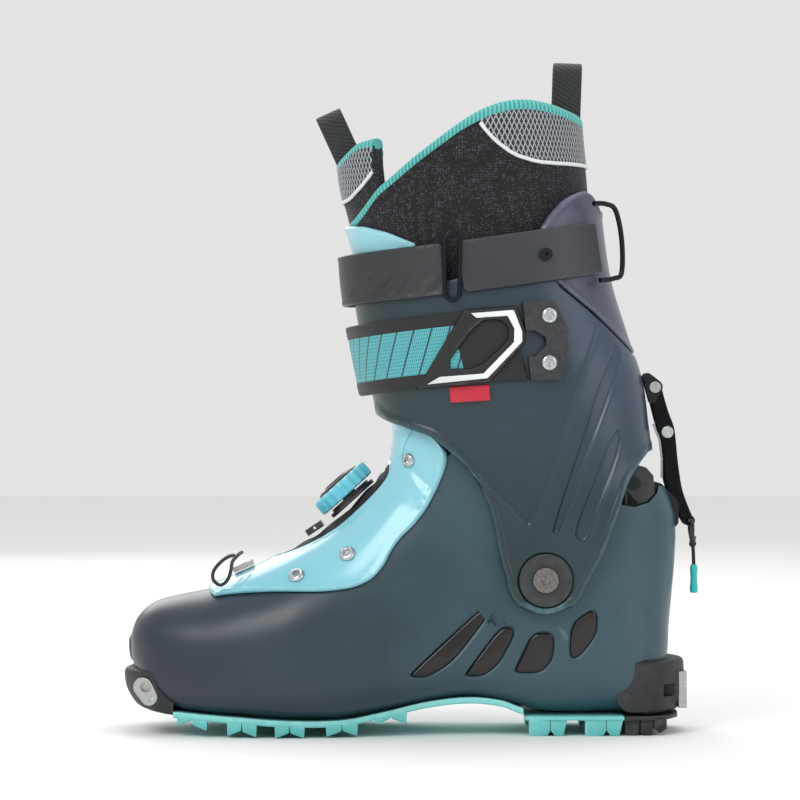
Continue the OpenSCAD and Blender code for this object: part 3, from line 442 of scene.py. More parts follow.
def fitted_solid(loops, profile, place, spacing, detail=None, relief=None):
    """Points, faces and cloth places of a thin body cut to outlines in a flat pattern. profile is
    a list of (grow, off) from its outer face to its inner face, place puts a pattern point at a
    distance off the form, and relief raises the outer face."""
    directed = []
    for number, loop in enumerate(loops):
        loop = np.asarray(loop, float)
        x, y = loop.T
        area = (x * np.roll(y, -1) - np.roll(x, -1) * y).sum()
        directed.append(loop if (area > 0) == (number == 0) else loop[::-1])
    outward = []
    for loop in directed:
        along_it = np.roll(loop, -1, 0) - np.roll(loop, 1, 0)
        along_it /= np.linalg.norm(along_it, axis=1)[:, None] + 1e-9
        outward.append(np.stack([along_it[:, 1], -along_it[:, 0]], 1))
    x0, y0 = directed[0].min(0)
    x1, y1 = directed[0].max(0)
    columns, lines = int((x1 - x0) / spacing) + 1, int((y1 - y0) / (spacing * 0.87)) + 1
    field = np.array([(x0 + (i + 0.5 * (j % 2)) * spacing, y0 + j * spacing * 0.87)
                      for j in range(lines + 1) for i in range(columns + 1)])
    if detail is not None and len(detail):
        near = np.array([((detail - f) ** 2).sum(1).min() < (spacing * 0.6) ** 2 for f in field])
        field = np.concatenate([field[~near], detail])
    points, faces, cloth = [], [], []
    rings = []
    for grow, off in profile:
        starts = []
        for loop, out in zip(directed, outward):
            edge = loop + out * grow
            starts.append(len(points))
            lift = relief(edge) if relief is not None and off == profile[0][1] else 0.0
            points.extend(place(edge, off + lift))
            cloth.extend(np.column_stack([edge, np.full(len(edge), off)]))
        rings.append(starts)
    for level, (grow, off) in ((0, profile[0]), (len(profile) - 1, profile[-1])):
        edges_now = [loop + out * grow for loop, out in zip(directed, outward)]
        rim = np.concatenate(edges_now)
        within = field[inside(edges_now, field)]
        clear = []
        for start in range(0, len(within), 2000):
            part_of = within[start:start + 2000]
            gap = ((part_of[:, None, :] - rim[None, :, :]) ** 2).sum(2).min(1)
            clear.append(gap > (0.45 * min(spacing, 1.2)) ** 2)
        within = within[np.concatenate(clear)] if len(within) else within
        flat_points = np.concatenate([rim, within])
        bonds, start = [], 0
        for edge in edges_now:
            bonds += [(start + k, start + (k + 1) % len(edge)) for k in range(len(edge))]
            start += len(edge)
        net = delaunay_2d_cdt([tuple(p) for p in flat_points], bonds, [], 0, 1e-5)
        spots, triangles, origin = net[0], net[2], net[3]
        spots = np.array([tuple(p) for p in spots])
        middles = np.array([spots[list(f)].mean(0) for f in triangles])
        wide = np.array([abs(np.cross(spots[f[1]] - spots[f[0]], spots[f[2]] - spots[f[0]])) > 1e-3
                         for f in triangles])
        kept = inside(edges_now, middles) & wide
        lift = relief(within) if relief is not None and level == 0 and len(within) else 0.0
        base = len(points)
        points.extend(place(within, off + lift) if len(within) else [])
        cloth.extend(np.column_stack([within, np.full(len(within), off)]))
        rim_index = []
        for loop_start, edge in zip(rings[level], edges_now):
            rim_index += [loop_start + k for k in range(len(edge))]
        number = []
        for i, known in enumerate(origin):
            if known:
                number.append(rim_index[known[0]] if known[0] < len(rim) else base + known[0] - len(rim))
            else:
                number.append(len(points))
                points.extend(place(spots[i:i + 1], off))
                cloth.append((*spots[i], off))
        for f, keep in zip(triangles, kept):
            if keep:
                corner = tuple(number[k] for k in f)
                turned = np.cross(spots[f[1]] - spots[f[0]], spots[f[2]] - spots[f[0]]) > 0
                faces.append(corner if turned == (level == 0) else corner[::-1])
    for upper, lower in zip(rings[:-1], rings[1:]):
        for a, b, loop in zip(upper, lower, directed):
            count = len(loop)
            faces += [(a + k, b + k, b + (k + 1) % count, a + (k + 1) % count) for k in range(count)]
    return np.array(points), faces, np.array(cloth)


def rounded_edge(outer, inner, radius, steps=5):
    """Profile of a rim that is rounded from the outer face to the inner one."""
    middle, half = (outer + inner) / 2, (outer - inner) / 2
    return [(-radius + radius * math.sin(k * math.pi / steps) ** 0.7,
             middle + half * math.cos(k * math.pi / steps)) for k in range(steps + 1)]


def plastic(name, low, high, rough, grain_mm, bump_mm, coat=0.0, painted_light_ramp=((0, 0, 1), 0.0, 0.16), ior=1.53,
            edge=None, third=None):
    """Moulded plastic: its colour runs between two tones along a direction, painted shade towards the low end
    and painted light towards the high end (on the shell, cuff and spoiler also a pearl hue shift), with faint
    clouds and a grain left by the tool. edge is a paler tone painted on sharp convex edges: a painted
    highlight, broken up by noise."""
    material, tree = new_finish(name)
    where = add(tree, "TexCoord").outputs["Object"]
    (dx, dy, dz), start, end = painted_light_ramp
    dot = add(tree, "VectorMath", {0: where, 1: (dx, dy, dz)}, operation="DOT_PRODUCT")
    clouds = add(tree, "TexNoise", {"Vector": where, "Scale": 1 / (45 * MM), "Detail": 3})
    # Painted light: along the direction the tone runs from the low colour to the high one, so one side is
    # painted in shade and the other lit.
    level = add(tree, "MapRange", {"Value": dot.outputs["Value"], "From Min": start, "From Max": end})
    drift = add(tree, "Math", {0: clouds, 1: 0.5}, operation="SUBTRACT")
    painted_light_and_clouds = add(tree, "Math", {0: drift, 1: 0.9, 2: level},
                 operation="MULTIPLY_ADD")
    tone = add(tree, "ValToRGB", {"Fac": painted_light_and_clouds})
    tone.color_ramp.elements[0].color = srgb(low)
    tone.color_ramp.elements[1].color = srgb(high)
    if third:
        tone.color_ramp.elements.new(0.5).color = srgb(third)
    grain = add(tree, "TexNoise", {"Vector": where, "Scale": 1 / (grain_mm * MM),
                                   "Detail": 2})
    colour = tone.outputs["Color"]
    # Painted highlight: sharp convex edges are turned towards the paler edge tone, broken up by noise.
    if edge:
        geometry_node = add(tree, "NewGeometry")
        painted_edge_highlight = add(tree, "MapRange", {"Value": geometry_node.outputs["Pointiness"], "From Min": 0.53,
                                        "From Max": 0.6})
        highlight_breakup = add(tree, "TexNoise", {"Vector": where, "Scale": 1 / (3 * MM)})
        amount = add(tree, "Math", {0: painted_edge_highlight, 1: highlight_breakup},
                     operation="MULTIPLY")
        colour = add(tree, "MixRGB", {"Fac": amount.outputs[0], "Color1": colour,
                                      "Color2": srgb(edge)}).outputs["Color"]
    gloss = add(tree, "MapRange", {"Value": clouds, "From Min": 0.3, "From Max": 0.7,
                                   "To Min": rough - 0.04, "To Max": rough + 0.05})
    relief = add(tree, "Bump", {"Height": grain, "Strength": 0.35,
                                "Distance": bump_mm * MM})
    shader = add(tree, "BsdfPrincipled", {
        "Base Color": colour, "Roughness": gloss, "IOR": ior,
        "Coat Weight": coat, "Coat Roughness": 0.12, "Normal": relief})
    add(tree, "OutputMaterial", {"Surface": shader})
    return material


# Moulded polyamide: slate blue-green, satin, with the pearl of mineral filler.
# Its tone is painted darker low and at the toe and lighter higher up towards the heel, painted shade and
# light with a pearl hue in it; its sharp edges carry a painted highlight.
shell_plastic = plastic("moulded_polyamide_shell", "#1d2833", "#2f4b56", 0.36, 0.5, 0.05,
                        painted_light_ramp=((0.9, 0, 0.43), -0.09, 0.08), edge="#5f7b86", third="#20343d")

WINDOWS = [[(38, 64), (41.5, 62), (23, 37), (11, 29), (2, 29), (2.5, 31)],
           [(45.5, 53.5), (53, 51.5), (44.5, 35), (37, 29), (28, 29), (29.5, 31.5)],
           [(60.5, 50), (71, 50), (70.5, 37.5), (65, 30.5), (52, 30.5), (53, 33.5)],
           [(79, 54), (89, 61), (92, 59), (91.5, 49), (83, 38), (78.5, 37.5)]]
RIM = [(60, 131), (98, 116), (104, 111.5), (110, 110.5), (117, 112.5), (121.5, 117), (124, 125),
       (124, 160), (60, 160)]


def window_place(outline_points, off, side):
    spots = side_to_shell(outline_points[:, 0], outline_points[:, 1], 0.0)
    placed = shell_at(spots[:, 0], spots[:, 1], off)
    if side > 0:
        mirrored = shell_at(spots[:, 0], 360 - spots[:, 1], off)
        placed = np.stack([placed[:, 0], mirrored[:, 1], placed[:, 2]], 1)
    return placed


def notch(half, r):
    """Cutter for the slot in the heel spine, bounded by an arc round the pivot."""
    arc = [(PIVOT[0] + r * math.cos(math.radians(a)), PIVOT[1] + r * math.sin(math.radians(a)))
           for a in np.linspace(12, 62, 40)]
    return prism(arc + [(110, 150), (155, 150), (155, 92)], -half, half)


pockets, panels = [], []
for window in WINDOWS:
    ring = rounded(window, 0.8, 3)
    for side in (-1, 1):
        def put(spots, off, side=side):
            return window_place(spots, off, side)
        cutter = fitted_solid([ring], [(1.5, 1.2), (1.4, 0.1), (0.5, -0.5), (0.2, -0.8), (0.1, -1.6)],
                              put, 3)
        panel = fitted_solid([ring], [(-1.3, -0.25), (-0.7, -0.35), (-0.3, -0.75), (-0.25, -1.2),
                                      (-0.25, -1.5)], put, 3)
        if side > 0:
            cutter = (cutter[0], [f[::-1] for f in cutter[1]], cutter[2])
            panel = (panel[0], [f[::-1] for f in panel[1]], panel[2])
        pockets.append(cutter[:2])
        panels.append(panel[:2])

lower_shell = worked(
    tool(*shell_solid(0, 0, 21, 0.1, 160, nose=1.6)),
    ("DIFFERENCE", shell_solid(-3, 3, 22, 0.25, 96)),
    *[("DIFFERENCE", pocket) for pocket in pockets],
    ("DIFFERENCE", swept_zone(75.6)),
    ("DIFFERENCE", prism(disc(*PIVOT, 6.2), -60, -30)),
    ("DIFFERENCE", prism(disc(*PIVOT, 6.2), 30, 60)),
    ("DIFFERENCE", prism(disc(-126, 23.8, 4.7) , -34.7, 34.7)),
    ("DIFFERENCE", notch(10.3, 68)),
    ("DIFFERENCE", prism(RIM, -60, 60)))
lower_shell.name = "lower_shell_moulding"
finished(lower_shell, shell_plastic, "shell", 32)
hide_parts("lower_shell")

# ---------- window panels ----------
# Pads of glossy brown-black rubber, glued into the pockets a little below the rim.
panel_rubber = plastic("glossy_polyurethane_panel", "#0c0909", "#1d1716", 0.16, 1.2, 0.05,
                       painted_light_ramp=((0.5, 0, 0.8), 0.02, 0.09), ior=1.5)
panel_points, panel_faces = [], []
for spots, faces in panels:
    base = len(panel_points)
    panel_points.extend(spots)
    panel_faces += [tuple(base + k for k in f) for f in faces]
window_panels = piece("window_panels", panel_points, panel_faces, panel_rubber, "shell")
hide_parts("window_inlays")

# ---------- toe and heel ledges, binding fittings ----------
# Black moulded rubber round the toe and heel carries steel fittings for the pins of a binding.
# The fittings are hardened stainless steel, finely brushed.
black_rubber = plastic("moulded_black_rubber", "#0b0c0e", "#171a1d", 0.55, 0.7, 0.09, ior=1.52,
                       painted_light_ramp=((0, 0, 1), 0.005, 0.05), edge="#4b5054")


def metal(name, low, high, rough, scratch_mm, direction=(1, 1, 12)):
    """Bare or plated metal with fine brush lines along one axis and cloudy gloss."""
    material, tree = new_finish(name)
    where = add(tree, "TexCoord").outputs["Object"]
    stretch = add(tree, "Mapping", {"Vector": where, "Scale": direction})
    lines = add(tree, "TexNoise", {"Vector": stretch,
                                   "Scale": 1 / (scratch_mm * 12 * MM), "Detail": 3})
    tone = add(tree, "ValToRGB", {"Fac": lines})
    tone.color_ramp.elements[0].position = 0.3
    tone.color_ramp.elements[0].color = srgb(low)
    tone.color_ramp.elements[1].position = 0.7
    tone.color_ramp.elements[1].color = srgb(high)
    gloss = add(tree, "MapRange", {"Value": lines, "To Min": rough - 0.08,
                                   "To Max": rough + 0.08})
    soft = add(tree, "Bevel", {"Radius": 0.3 * MM}, samples=4)
    relief = add(tree, "Bump", {"Height": lines, "Strength": 0.15,
                                "Distance": 0.05 * MM, "Normal": soft})
    shader = add(tree, "BsdfPrincipled", {"Base Color": tone, "Metallic": 1.0,
                                          "Roughness": gloss,
                                          "Normal": relief})
    add(tree, "OutputMaterial", {"Surface": shader})
    return material


def dress(material, *names):
    """Gives CAD parts that stay as they are their finish."""
    for name in names:
        for place in nodes[name].material_slots:
            place.material = material


stainless = metal("brushed_stainless_steel", "#9a9c9b", "#c9cbc9", 0.3, 0.12)
zinc = metal("zinc_plated_screw", "#a9adb0", "#d5d8d9", 0.26, 0.1, (1, 1, 1))


def ledge(half, bow, outline, x_sign, steps=30):
    """Points and faces of a ledge whose side outline bows back towards both sides of the boot."""
    ring = rounded(outline, 1.0, 2)
    count = len(ring)
    points = []
    spans = np.linspace(-half, half, steps + 1)
    for y in spans:
        edge = min(1.0, (half - abs(y)) / 2.0)
        shrink = 1 - 0.5 * (1 - math.sqrt(max(1 - (1 - edge) ** 2, 0))) * 0.2
        middle = ring.mean(0)
        for x, z in ring:
            px, pz = middle[0] + (x - middle[0]) * shrink, middle[1] + (z - middle[1]) * shrink
            points.append((px + x_sign * bow * y * y, y, pz))
    faces = ring_faces(len(spans), count)
    faces += [tuple(range(count))[::-1], tuple(range(len(points) - count, len(points)))]
    area = (ring[:, 0] * np.roll(ring[:, 1], -1) - np.roll(ring[:, 0], -1) * ring[:, 1]).sum()
    return points, (faces if area < 0 else [f[::-1] for f in faces])


toe_ledge = worked(
    tool(*ledge(34.2, 0.0105, [(-139.2, 30.2), (-135, 32.4), (-110, 32), (-108, 9.2),
                                      (-125, 9.8), (-133, 13), (-138, 21)], 1)),
    ("DIFFERENCE", shell_solid(0.05, 0, 21, 0.25, 96)),
    ("DIFFERENCE", prism([(-112.9, -10), (-112.9, 60), (-80, 60), (-80, -10)], -60, 60)),
    ("DIFFERENCE", prism(disc(-127.3, 23.9, 4.8), -60, 60)),
    ("DIFFERENCE", prism(disc(-124.7, 18.9, 4.2), -60, 60)))
toe_ledge.name = "toe_ledge_rubber"
finished(toe_ledge, black_rubber, "shell")
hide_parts("toe_bumper")

heel_ledge = worked(
    tool(*ledge(33.3, 0.0125, [(114, 36.6), (134.6, 36.3), (136.3, 34.5), (136.3, 10.2),
                                      (114, 10.2)], -1)),
    ("DIFFERENCE", shell_solid(0.05, 0, 21, 0.25, 96)),
    ("DIFFERENCE", prism([(132.4, 12), (132.4, 30), (142.4, 30), (142.4, 12)], -17, 17)),
    ("DIFFERENCE", prism([(124, 18.7), (124, 24.7), (133.5, 24.7), (133.5, 18.7)], -42, -22)),
    ("DIFFERENCE", prism([(124, 18.7), (124, 24.7), (133.5, 24.7), (133.5, 18.7)], 22, 42)))
heel_ledge.name = "heel_ledge_rubber"
finished(heel_ledge, black_rubber, "shell")
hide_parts("heel_ledge")
dress(stainless, "toe_insert", "heel_insert", "lock_pin", "lever_pin", "lever_spring", "lace_clip")
dress(zinc, "toe_screws", "heel_screws")

# ---------- outsole ----------
# Rubber of two colours, moulded in one and bonded on: a thin strip along the sole with chevron
# lugs along both edges, and a harder black block under the heel.
# Its tone is painted darker at the bottom of the sole and lighter above, painted shade, with painted
# highlights on sharp edges.
teal_rubber = plastic("moulded_teal_rubber", "#45aaa8", "#6fcdc8", 0.5, 0.8, 0.08, ior=1.52,
                      painted_light_ramp=((0, 0, 1), 0.0, 0.016), edge="#a5e2de")
SOLE_W = [(-116, 34), (-110, 36), (-100, 41), (-85, 45), (-65, 47.5), (-45, 46.5), (-25, 43), (0, 38),
          (30, 35), (70, 35.5), (110, 34.5), (122, 31)]
STRIP = [(-118, 9), (-82, 7), (-56, 5.4), (-31, 5.6), (-11, 9.2), (11, 14), (31, 15.8), (46, 14.2),
         (56, 10.6)]
LUGS = [(-111, -96, 5.2, 3.1), (-86.5, -72, 1, 0.5), (-63.5, -49, 0, 0), (-39, -23.5, 0.6, 0.8),
        (-15.5, 0, 6.2, 6.2)]


def along(list_of_pairs, x):
    return np.interp(x, [p[0] for p in list_of_pairs], [p[1] for p in list_of_pairs])


def softened(made, width=0.5, segments=2, angle=35):
    """Rounds the sharp edges of a clean mesh."""
    change = made.modifiers.new("edge", "BEVEL")
    change.width = width * MM
    change.segments = segments
    change.limit_method = "ANGLE"
    change.angle_limit = math.radians(angle)
    bpy.context.view_layer.update()
    made.data = bpy.data.meshes.new_from_object(
        made.evaluated_get(bpy.context.evaluated_depsgraph_get()))
    made.modifiers.clear()
    return made


def block(corners_top, corners_low):
    """Points and faces between an upper and a lower ring of corners."""
    count = len(corners_top)
    faces = [(k, (k + 1) % count, count + (k + 1) % count, count + k) for k in range(count)]
    faces += [tuple(range(count))[::-1], tuple(range(count, 2 * count))]
    return list(corners_top) + list(corners_low), faces


sole_points, sole_faces = [], []


def keep_form(points, faces):
    base = len(sole_points)
    sole_points.extend(points)
    sole_faces.extend(tuple(base + k for k in f) for f in outward_faces(points, faces))


strip_rows = []
for x in np.linspace(-112.8, 56, 86):
    low, half = row_at(STRIP, np.interp(x, [p[0] for p in STRIP], range(len(STRIP))))[1], along(SOLE_W, x)
    strip_rows.append([(x, half, low + 3), (x, half, low + 0.7), (x, half - 0.7, low),
                       (x, half - 16, low), (x, half - 17, low + 0.9), (x, 0, low + 0.9),
                       (x, -half + 17, low + 0.9), (x, -half + 16, low), (x, -half + 0.7, low),
                       (x, -half, low + 0.7), (x, -half, low + 3)])
ring_size = len(strip_rows[0])
strip_faces = ring_faces(len(strip_rows), ring_size)
strip_faces += [tuple(range(ring_size))[::-1],
                tuple(range((len(strip_rows) - 1) * ring_size, len(strip_rows) * ring_size))]
keep_form([p for row in strip_rows for p in row], strip_faces)
sole = worked(tool(sole_points, sole_faces), ("DIFFERENCE", shell_solid(0.05, 0, 21, 0.25, 96)))
lugs = []
for first, last, low_a, low_b in LUGS:
    middle = (first + last) / 2
    for side in (-1, 1):
        for start, end, low, toe_in in ((first, middle, low_a, 0), (middle, last, low_b, 1)):
            half_a, half_b = along(SOLE_W, start), along(SOLE_W, end)
            top_a, top_b = along(STRIP, start) + 0.6, along(STRIP, end) + 0.6
            notch_rise = 2.5
            za, zb = (low, low + notch_rise) if not toe_in else (low + notch_rise, low)
            gap = 0.25
            top = [(start, side * (half_a + 0.05), top_a), (end, side * (half_b + 0.05), top_b),
                   (end, side * (half_b - 16.6), top_b), (start, side * (half_a - 16.6), top_a)]
            low_ring = [(start + gap, side * (half_a - 0.8), za), (end - gap, side * (half_b - 0.8), zb),
                        (end - gap - 1, side * (half_b - 13), zb),
                        (start + gap + 1, side * (half_a - 13), za)]
            points, faces = block(top, low_ring)
            lug = softened(tool(points, outward_faces(points, faces)), 0.7, 3)
            lugs.append(lug)


def joined(*pieces):
    """One mesh from several objects."""
    points, faces = [], []
    for made in pieces:
        base = len(points)
        points.extend(tuple(v.co / MM) for v in made.data.vertices)
        faces += [tuple(base + k for k in face.vertices) for face in made.data.polygons]
        bpy.data.objects.remove(made)
    return points, faces


front_sole = piece("front_outsole_rubber", *joined(sole, *lugs), teal_rubber, "shell")
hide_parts("front_outsole")

heel_plate = [(57, 34), (70, 35.3), (104.9, 35), (104.9, -35), (70, -35.3), (57, -34)]
parts_made = [softened(tool(*block([(x, y, 9.6) for x, y in heel_plate],
                                   [(x, y, 7.6) for x, y in heel_plate])), 0.5, 2)]
for side in (-1, 1):
    for x in (59, 86):
        for outline in ([(x, 8.4), (x, 0), (x + 8.6, 0), (x + 10.2, 2.7), (x + 10.2, 8.4)],
                        [(x + 10.4, 8.4), (x + 10.4, 2.7), (x + 12.2, 0), (x + 16.5, 0), (x + 18.4, 8.4)]):
            inner_y, outer_y = side * 19, side * 34.4
            points, faces = block([(px, outer_y, pz) for px, pz in outline],
                                  [(px, inner_y, pz) for px, pz in outline])
            parts_made.append(softened(tool(points, outward_faces(points, faces)), 0.7, 3))
points, faces = joined(*parts_made)
heel_sole = piece("heel_outsole_rubber", points, faces, teal_rubber, "shell")
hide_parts("heel_outsole")

heel_rubber = plastic("hard_black_rubber", "#090a0a", "#131415", 0.5, 0.8, 0.08, ior=1.52,
                      painted_light_ramp=((0, 0, 1), 0, 0.01), edge="#3c3f41")
heel_round = [(105.1, 34.8), (118, 33), (127, 26), (132, 14), (133, 0), (132, -14), (127, -26),
              (118, -33), (105.1, -34.8)]
parts_made = [softened(tool(*block([(x, y, 9.6) for x, y in heel_round],
                                   [(x, y, 7.4) for x, y in heel_round])), 0.5, 2)]
for side in (-1, 1):
    for outline in ([(105.1, 8), (105.1, 0), (111.6, 0), (112.4, 1.4), (112.4, 8)],
                    [(112.8, 8), (112.8, 1.4), (113.6, 0), (117.8, 0), (119, 3), (119, 8)],
                    [(119.2, 8), (119.2, 3), (120.6, 3), (122, 1), (125.6, 3.4), (125.6, 8)]):
        points, faces = block([(px, side * 31.4, pz) for px, pz in outline],
                              [(px, side * 15, pz) for px, pz in outline])
        parts_made.append(softened(tool(points, outward_faces(points, faces)), 0.6, 3))
points, faces = joined(*parts_made)
heel_pad = piece("heel_block_rubber", points, faces, heel_rubber, "shell")
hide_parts("heel_block")

# ---------- instep flap ----------
# A separate moulding of soft glossy polyether plastic, 2 mm thick, folded over the instep and
# screwed to the shell on both sides. It is cut open in the middle for the fabric below.
flap_plastic = plastic("glossy_blue_polyether_amide", "#74bac9", "#92cfdb", 0.2, 2.5, 0.03, coat=0.35,
                       ior=1.5, painted_light_ramp=((0.6, 0, 0.8), 0.0, 0.13), edge="#d9f4f6")
FLAP_EDGE = [(-99.8, 67.5), (-82, 70.2), (-62, 71.2), (-41.5, 70.8), (-26, 72.5), (-17, 76.5),
             (-11, 83.5), (-8, 90), (-3.5, 96.5), (2.5, 102), (9, 110.5), (14.5, 121.5), (18.3, 131),
             (18.8, 136.5), (15.5, 141.5), (8, 148)]
edge_line = rounded(FLAP_EDGE, 1.6, 2, closed=False)
spots = side_to_shell(edge_line[:, 0], edge_line[:, 1], 2.3)
spots = spots[(spots[:, 0] < 21) & (spots[:, 0] > 4.2)]
SECTION_MM, BEARING_MM = 12.5, 1.0


def flap_place(flat, off):
    return shell_at(flat[:, 0] / SECTION_MM, 180 + flat[:, 1] / BEARING_MM, off)


def on_pattern(spots):
    """Sections and bearings turned into millimetres of the flat pattern."""
    spots = np.asarray(spots, float)
    return np.column_stack([spots[:, 0] * SECTION_MM, (spots[:, 1] - 180) * BEARING_MM])


outer_edge = on_pattern(spots)
slit = on_pattern([(20.75, 210.5), (19, 209), (16.9, 206.6), (15.3, 203.6), (14.9, 198), (14.8, 180)])
slit = rounded(np.concatenate([slit, slit[-2::-1] * (1, -1)]), 1.4, 2, closed=False)
nose = on_pattern([(4.12, 207), (4.02, 197), (4.0, 180), (4.02, 163), (4.12, 153)])
flap_outline = np.concatenate([outer_edge, slit, outer_edge[::-1] * (1, -1),
                               rounded(nose[::-1], 1.4, 1, closed=False)])
SLOT = [(6.2, 0), (6.35, 9), (7.2, 16), (8.6, 20), (10.6, 22), (12.2, 22.5), (12.85, 18), (13, 0)]
slot_half = on_pattern([(t, 180 + a) for t, a in SLOT])
flap_slot = rounded(np.concatenate([slot_half, slot_half[-2:0:-1] * (1, -1)]), 1.4, 2)


def flap_relief(flat):
    """A low step along the rim of the flap and a dished panel round the screws."""
    rim = np.concatenate([flap_outline, flap_slot])
    gap = np.array([np.sqrt(((rim - f) ** 2).sum(1).min()) for f in flat])
    return 0.45 * np.clip((3.2 - gap) / 0.9, 0, 1)


flap_points, flap_faces, _ = fitted_solid([flap_outline, flap_slot], rounded_edge(2.4, 0.35, 0.9),
                                          flap_place, 2.0, relief=flap_relief)
instep_flap = piece("instep_flap_moulding", flap_points, flap_faces,
                    flap_plastic, "shell")
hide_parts("instep_flap")

# ---------- flap screws and lace clip ----------
# Domed hexagon-socket screws of plated steel on both sides; a bent clip of stainless steel holds
# the front of the lace.


def set_up(at, axis):
    """Matrix-like frame: origin and three axes with the last along axis."""
    n = np.asarray(axis, float)
    n /= np.linalg.norm(n)
    a = np.cross(n, (0, 1, 0) if abs(n[1]) < 0.9 else (1, 0, 0))
    a /= np.linalg.norm(a)
    return np.asarray(at, float), a, np.cross(n, a), n


def turned(profile, frame_at, sides=40, grip=None):
    """Points and faces of a turned form, from (radius, height) pairs; closed at both ends."""
    at, a, b, n = frame_at
    points = []
    for level, (radius, height) in enumerate(profile):
        for k in range(sides):
            angle = 2 * math.pi * k / sides
            r = radius * (grip(angle, level) if grip else 1)
            points.append(at + a * r * math.cos(angle) + b * r * math.sin(angle) + n * height)
    faces = ring_faces(len(profile), sides)
    faces += [tuple(range(sides))[::-1], tuple(range(len(points) - sides, len(points)))]
    return points, outward_faces(points, faces)


def domed_screw(at, axis, radius, height, sides=42):
    """A domed head with a six-sided socket."""
    placed = set_up(at, axis)
    head = [(radius * 0.8, 0), (radius, 0.15), (radius, height * 0.35), (radius * 0.9, height * 0.75),
            (radius * 0.7, height * 0.97), (radius * 0.5, height)]

    def hexagon(angle, level):
        if level < len(head):
            return 1.0
        return math.cos(math.pi / 6) / math.cos((angle + math.pi / 6) % (math.pi / 3) - math.pi / 6)
    return turned(head + [(radius * 0.5, height - 0.05), (radius * 0.46, height - height * 0.75),
                          (0.05, height - height * 0.8)], placed, sides, hexagon)


def shell_normal(t, a):
    dt = shell_at(t + 0.05, a) - shell_at(t - 0.05, a)
    da = shell_at(t, a + 1) - shell_at(t, a - 1)
    n = np.cross(dt, da)
    out = shell_at(t, a, 1.0) - shell_at(t, a)
    return n * np.sign(np.dot(n, out))


screw_points, screw_faces = [], []
for t, turn, radius in ((7.1, 20.3, 4), (9.05, 20.6, 4), (15.4, 19.2, 3.6)):
    for bearing_at in (turn * 11.25, 360 - turn * 11.25):
        spots, faces = domed_screw(shell_at(t, bearing_at, 2.3), shell_normal(t, bearing_at), radius, 1.9)
        base = len(screw_points)
        screw_points.extend(spots)
        screw_faces += [tuple(base + k for k in f) for f in faces]
flap_screws = piece("flap_screws_plated", screw_points, screw_faces, zinc, "shell", 40)
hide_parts("flap_screws")

# ---------- lace ring ----------
# The end of the lace: a thin braided cord that hangs from the clip in a small loop.
LACE = [(-85, -6, 86), (-87.5, -12, 85.5), (-91, -17.5, 83), (-94, -21.5, 79), (-94, -24.5, 75),
        (-90.5, -26, 72.5), (-87, -26, 75), (-85.5, -23.5, 79.5), (-85, -19, 83.5), (-82.5, -13, 86.5),
        (-81, -6, 87.5)]
lace_line = row_at(LACE, np.linspace(0, len(LACE) - 1, 61))
lace_points, lace_faces = tube(lace_line, 0.9, 10)
lace_ring = piece("lace_loop_braid", lace_points, lace_faces, braid, "shell")
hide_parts("lace_loop")

# ---------- gaiter ----------
# Waterproof stretch fabric sewn in under the flap, with a fine matt weave and small folds.
def woven(name, low, high, thread_mm, rough=0.8, sheen=0.25, sheen_tint="#8c949c", depth=0.12):
    """Plain weave from two crossed sets of threads, with a cloudy tone; the raised threads are painted
    lighter and the hollows darker, as painted shade.
    """
    material, tree = new_finish(name)
    where = add(tree, "TexCoord").outputs["Object"]
    warp = add(tree, "TexWave", {"Vector": where, "Scale": 1 / (thread_mm * 6.28 * MM),
                                 "Distortion": 1.5, "Detail": 1}, bands_direction="X")
    weft = add(tree, "TexWave", {"Vector": where, "Scale": 1 / (thread_mm * 6.28 * MM),
                                 "Distortion": 1.5, "Detail": 1}, bands_direction="Z")
    cross = add(tree, "Math", {0: warp.outputs["Fac"], 1: weft.outputs["Fac"]}, operation="MAXIMUM")
    clouds = add(tree, "TexNoise", {"Vector": where, "Scale": 1 / (9 * MM), "Detail": 3})
    # Painted shade: the thread relief sets the tone, lighter on raised threads and darker between them, times
    # the clouds.
    thread_light_and_clouds = add(tree, "Math", {0: cross, 1: clouds}, operation="MULTIPLY")
    tone = add(tree, "MixRGB", {"Fac": thread_light_and_clouds, "Color1": srgb(low), "Color2": srgb(high)})
    relief = add(tree, "Bump", {"Height": cross, "Strength": 0.5, "Distance": depth * MM})
    shader = add(tree, "BsdfPrincipled", {
        "Base Color": tone, "Roughness": rough, "Sheen Weight": sheen,
        "Sheen Tint": srgb(sheen_tint), "Normal": relief})
    add(tree, "OutputMaterial", {"Surface": shader})
    return material


membrane = woven("woven_stretch_membrane", "#060708", "#1c1f22", 0.5)
columns, lines = 70, 90
gaiter_points, gaiter_flat = [], []
for face in (0, 1):
    for i in range(lines + 1):
        t = 5.7 + (13.4 - 5.7) * i / lines
        for j in range(columns + 1):
            across = -1 + 2 * j / columns
            bearing_at = 180 + across * 25
            swell = math.sin(math.pi * min(max((t - 5.9) / 7.3, 0), 1))
            rise = max(0.0, 1 - across ** 2) ** 0.7 * swell ** 0.5
            fold = 0.5 * math.sin(5.1 * t + 2.2 * math.sin(2.3 * across + t)) * rise
            off = 0.35 + (2.6 * rise + fold) - face * 0.2 * (1 - 0.3 * rise)
            gaiter_points.append(shell_at(t, bearing_at, max(off, 0.16 + 0.1 * (1 - face))))
            gaiter_flat.append((t * SECTION_MM, across * 25, 0))
row_len = columns + 1
gaiter_faces = []
for face in (0, 1):
    base = face * row_len * (lines + 1)
    for i in range(lines):
        for j in range(columns):
            a = base + i * row_len + j
            quad = (a, a + 1, a + row_len + 1, a + row_len)
            gaiter_faces.append(quad if face == 0 else quad[::-1])
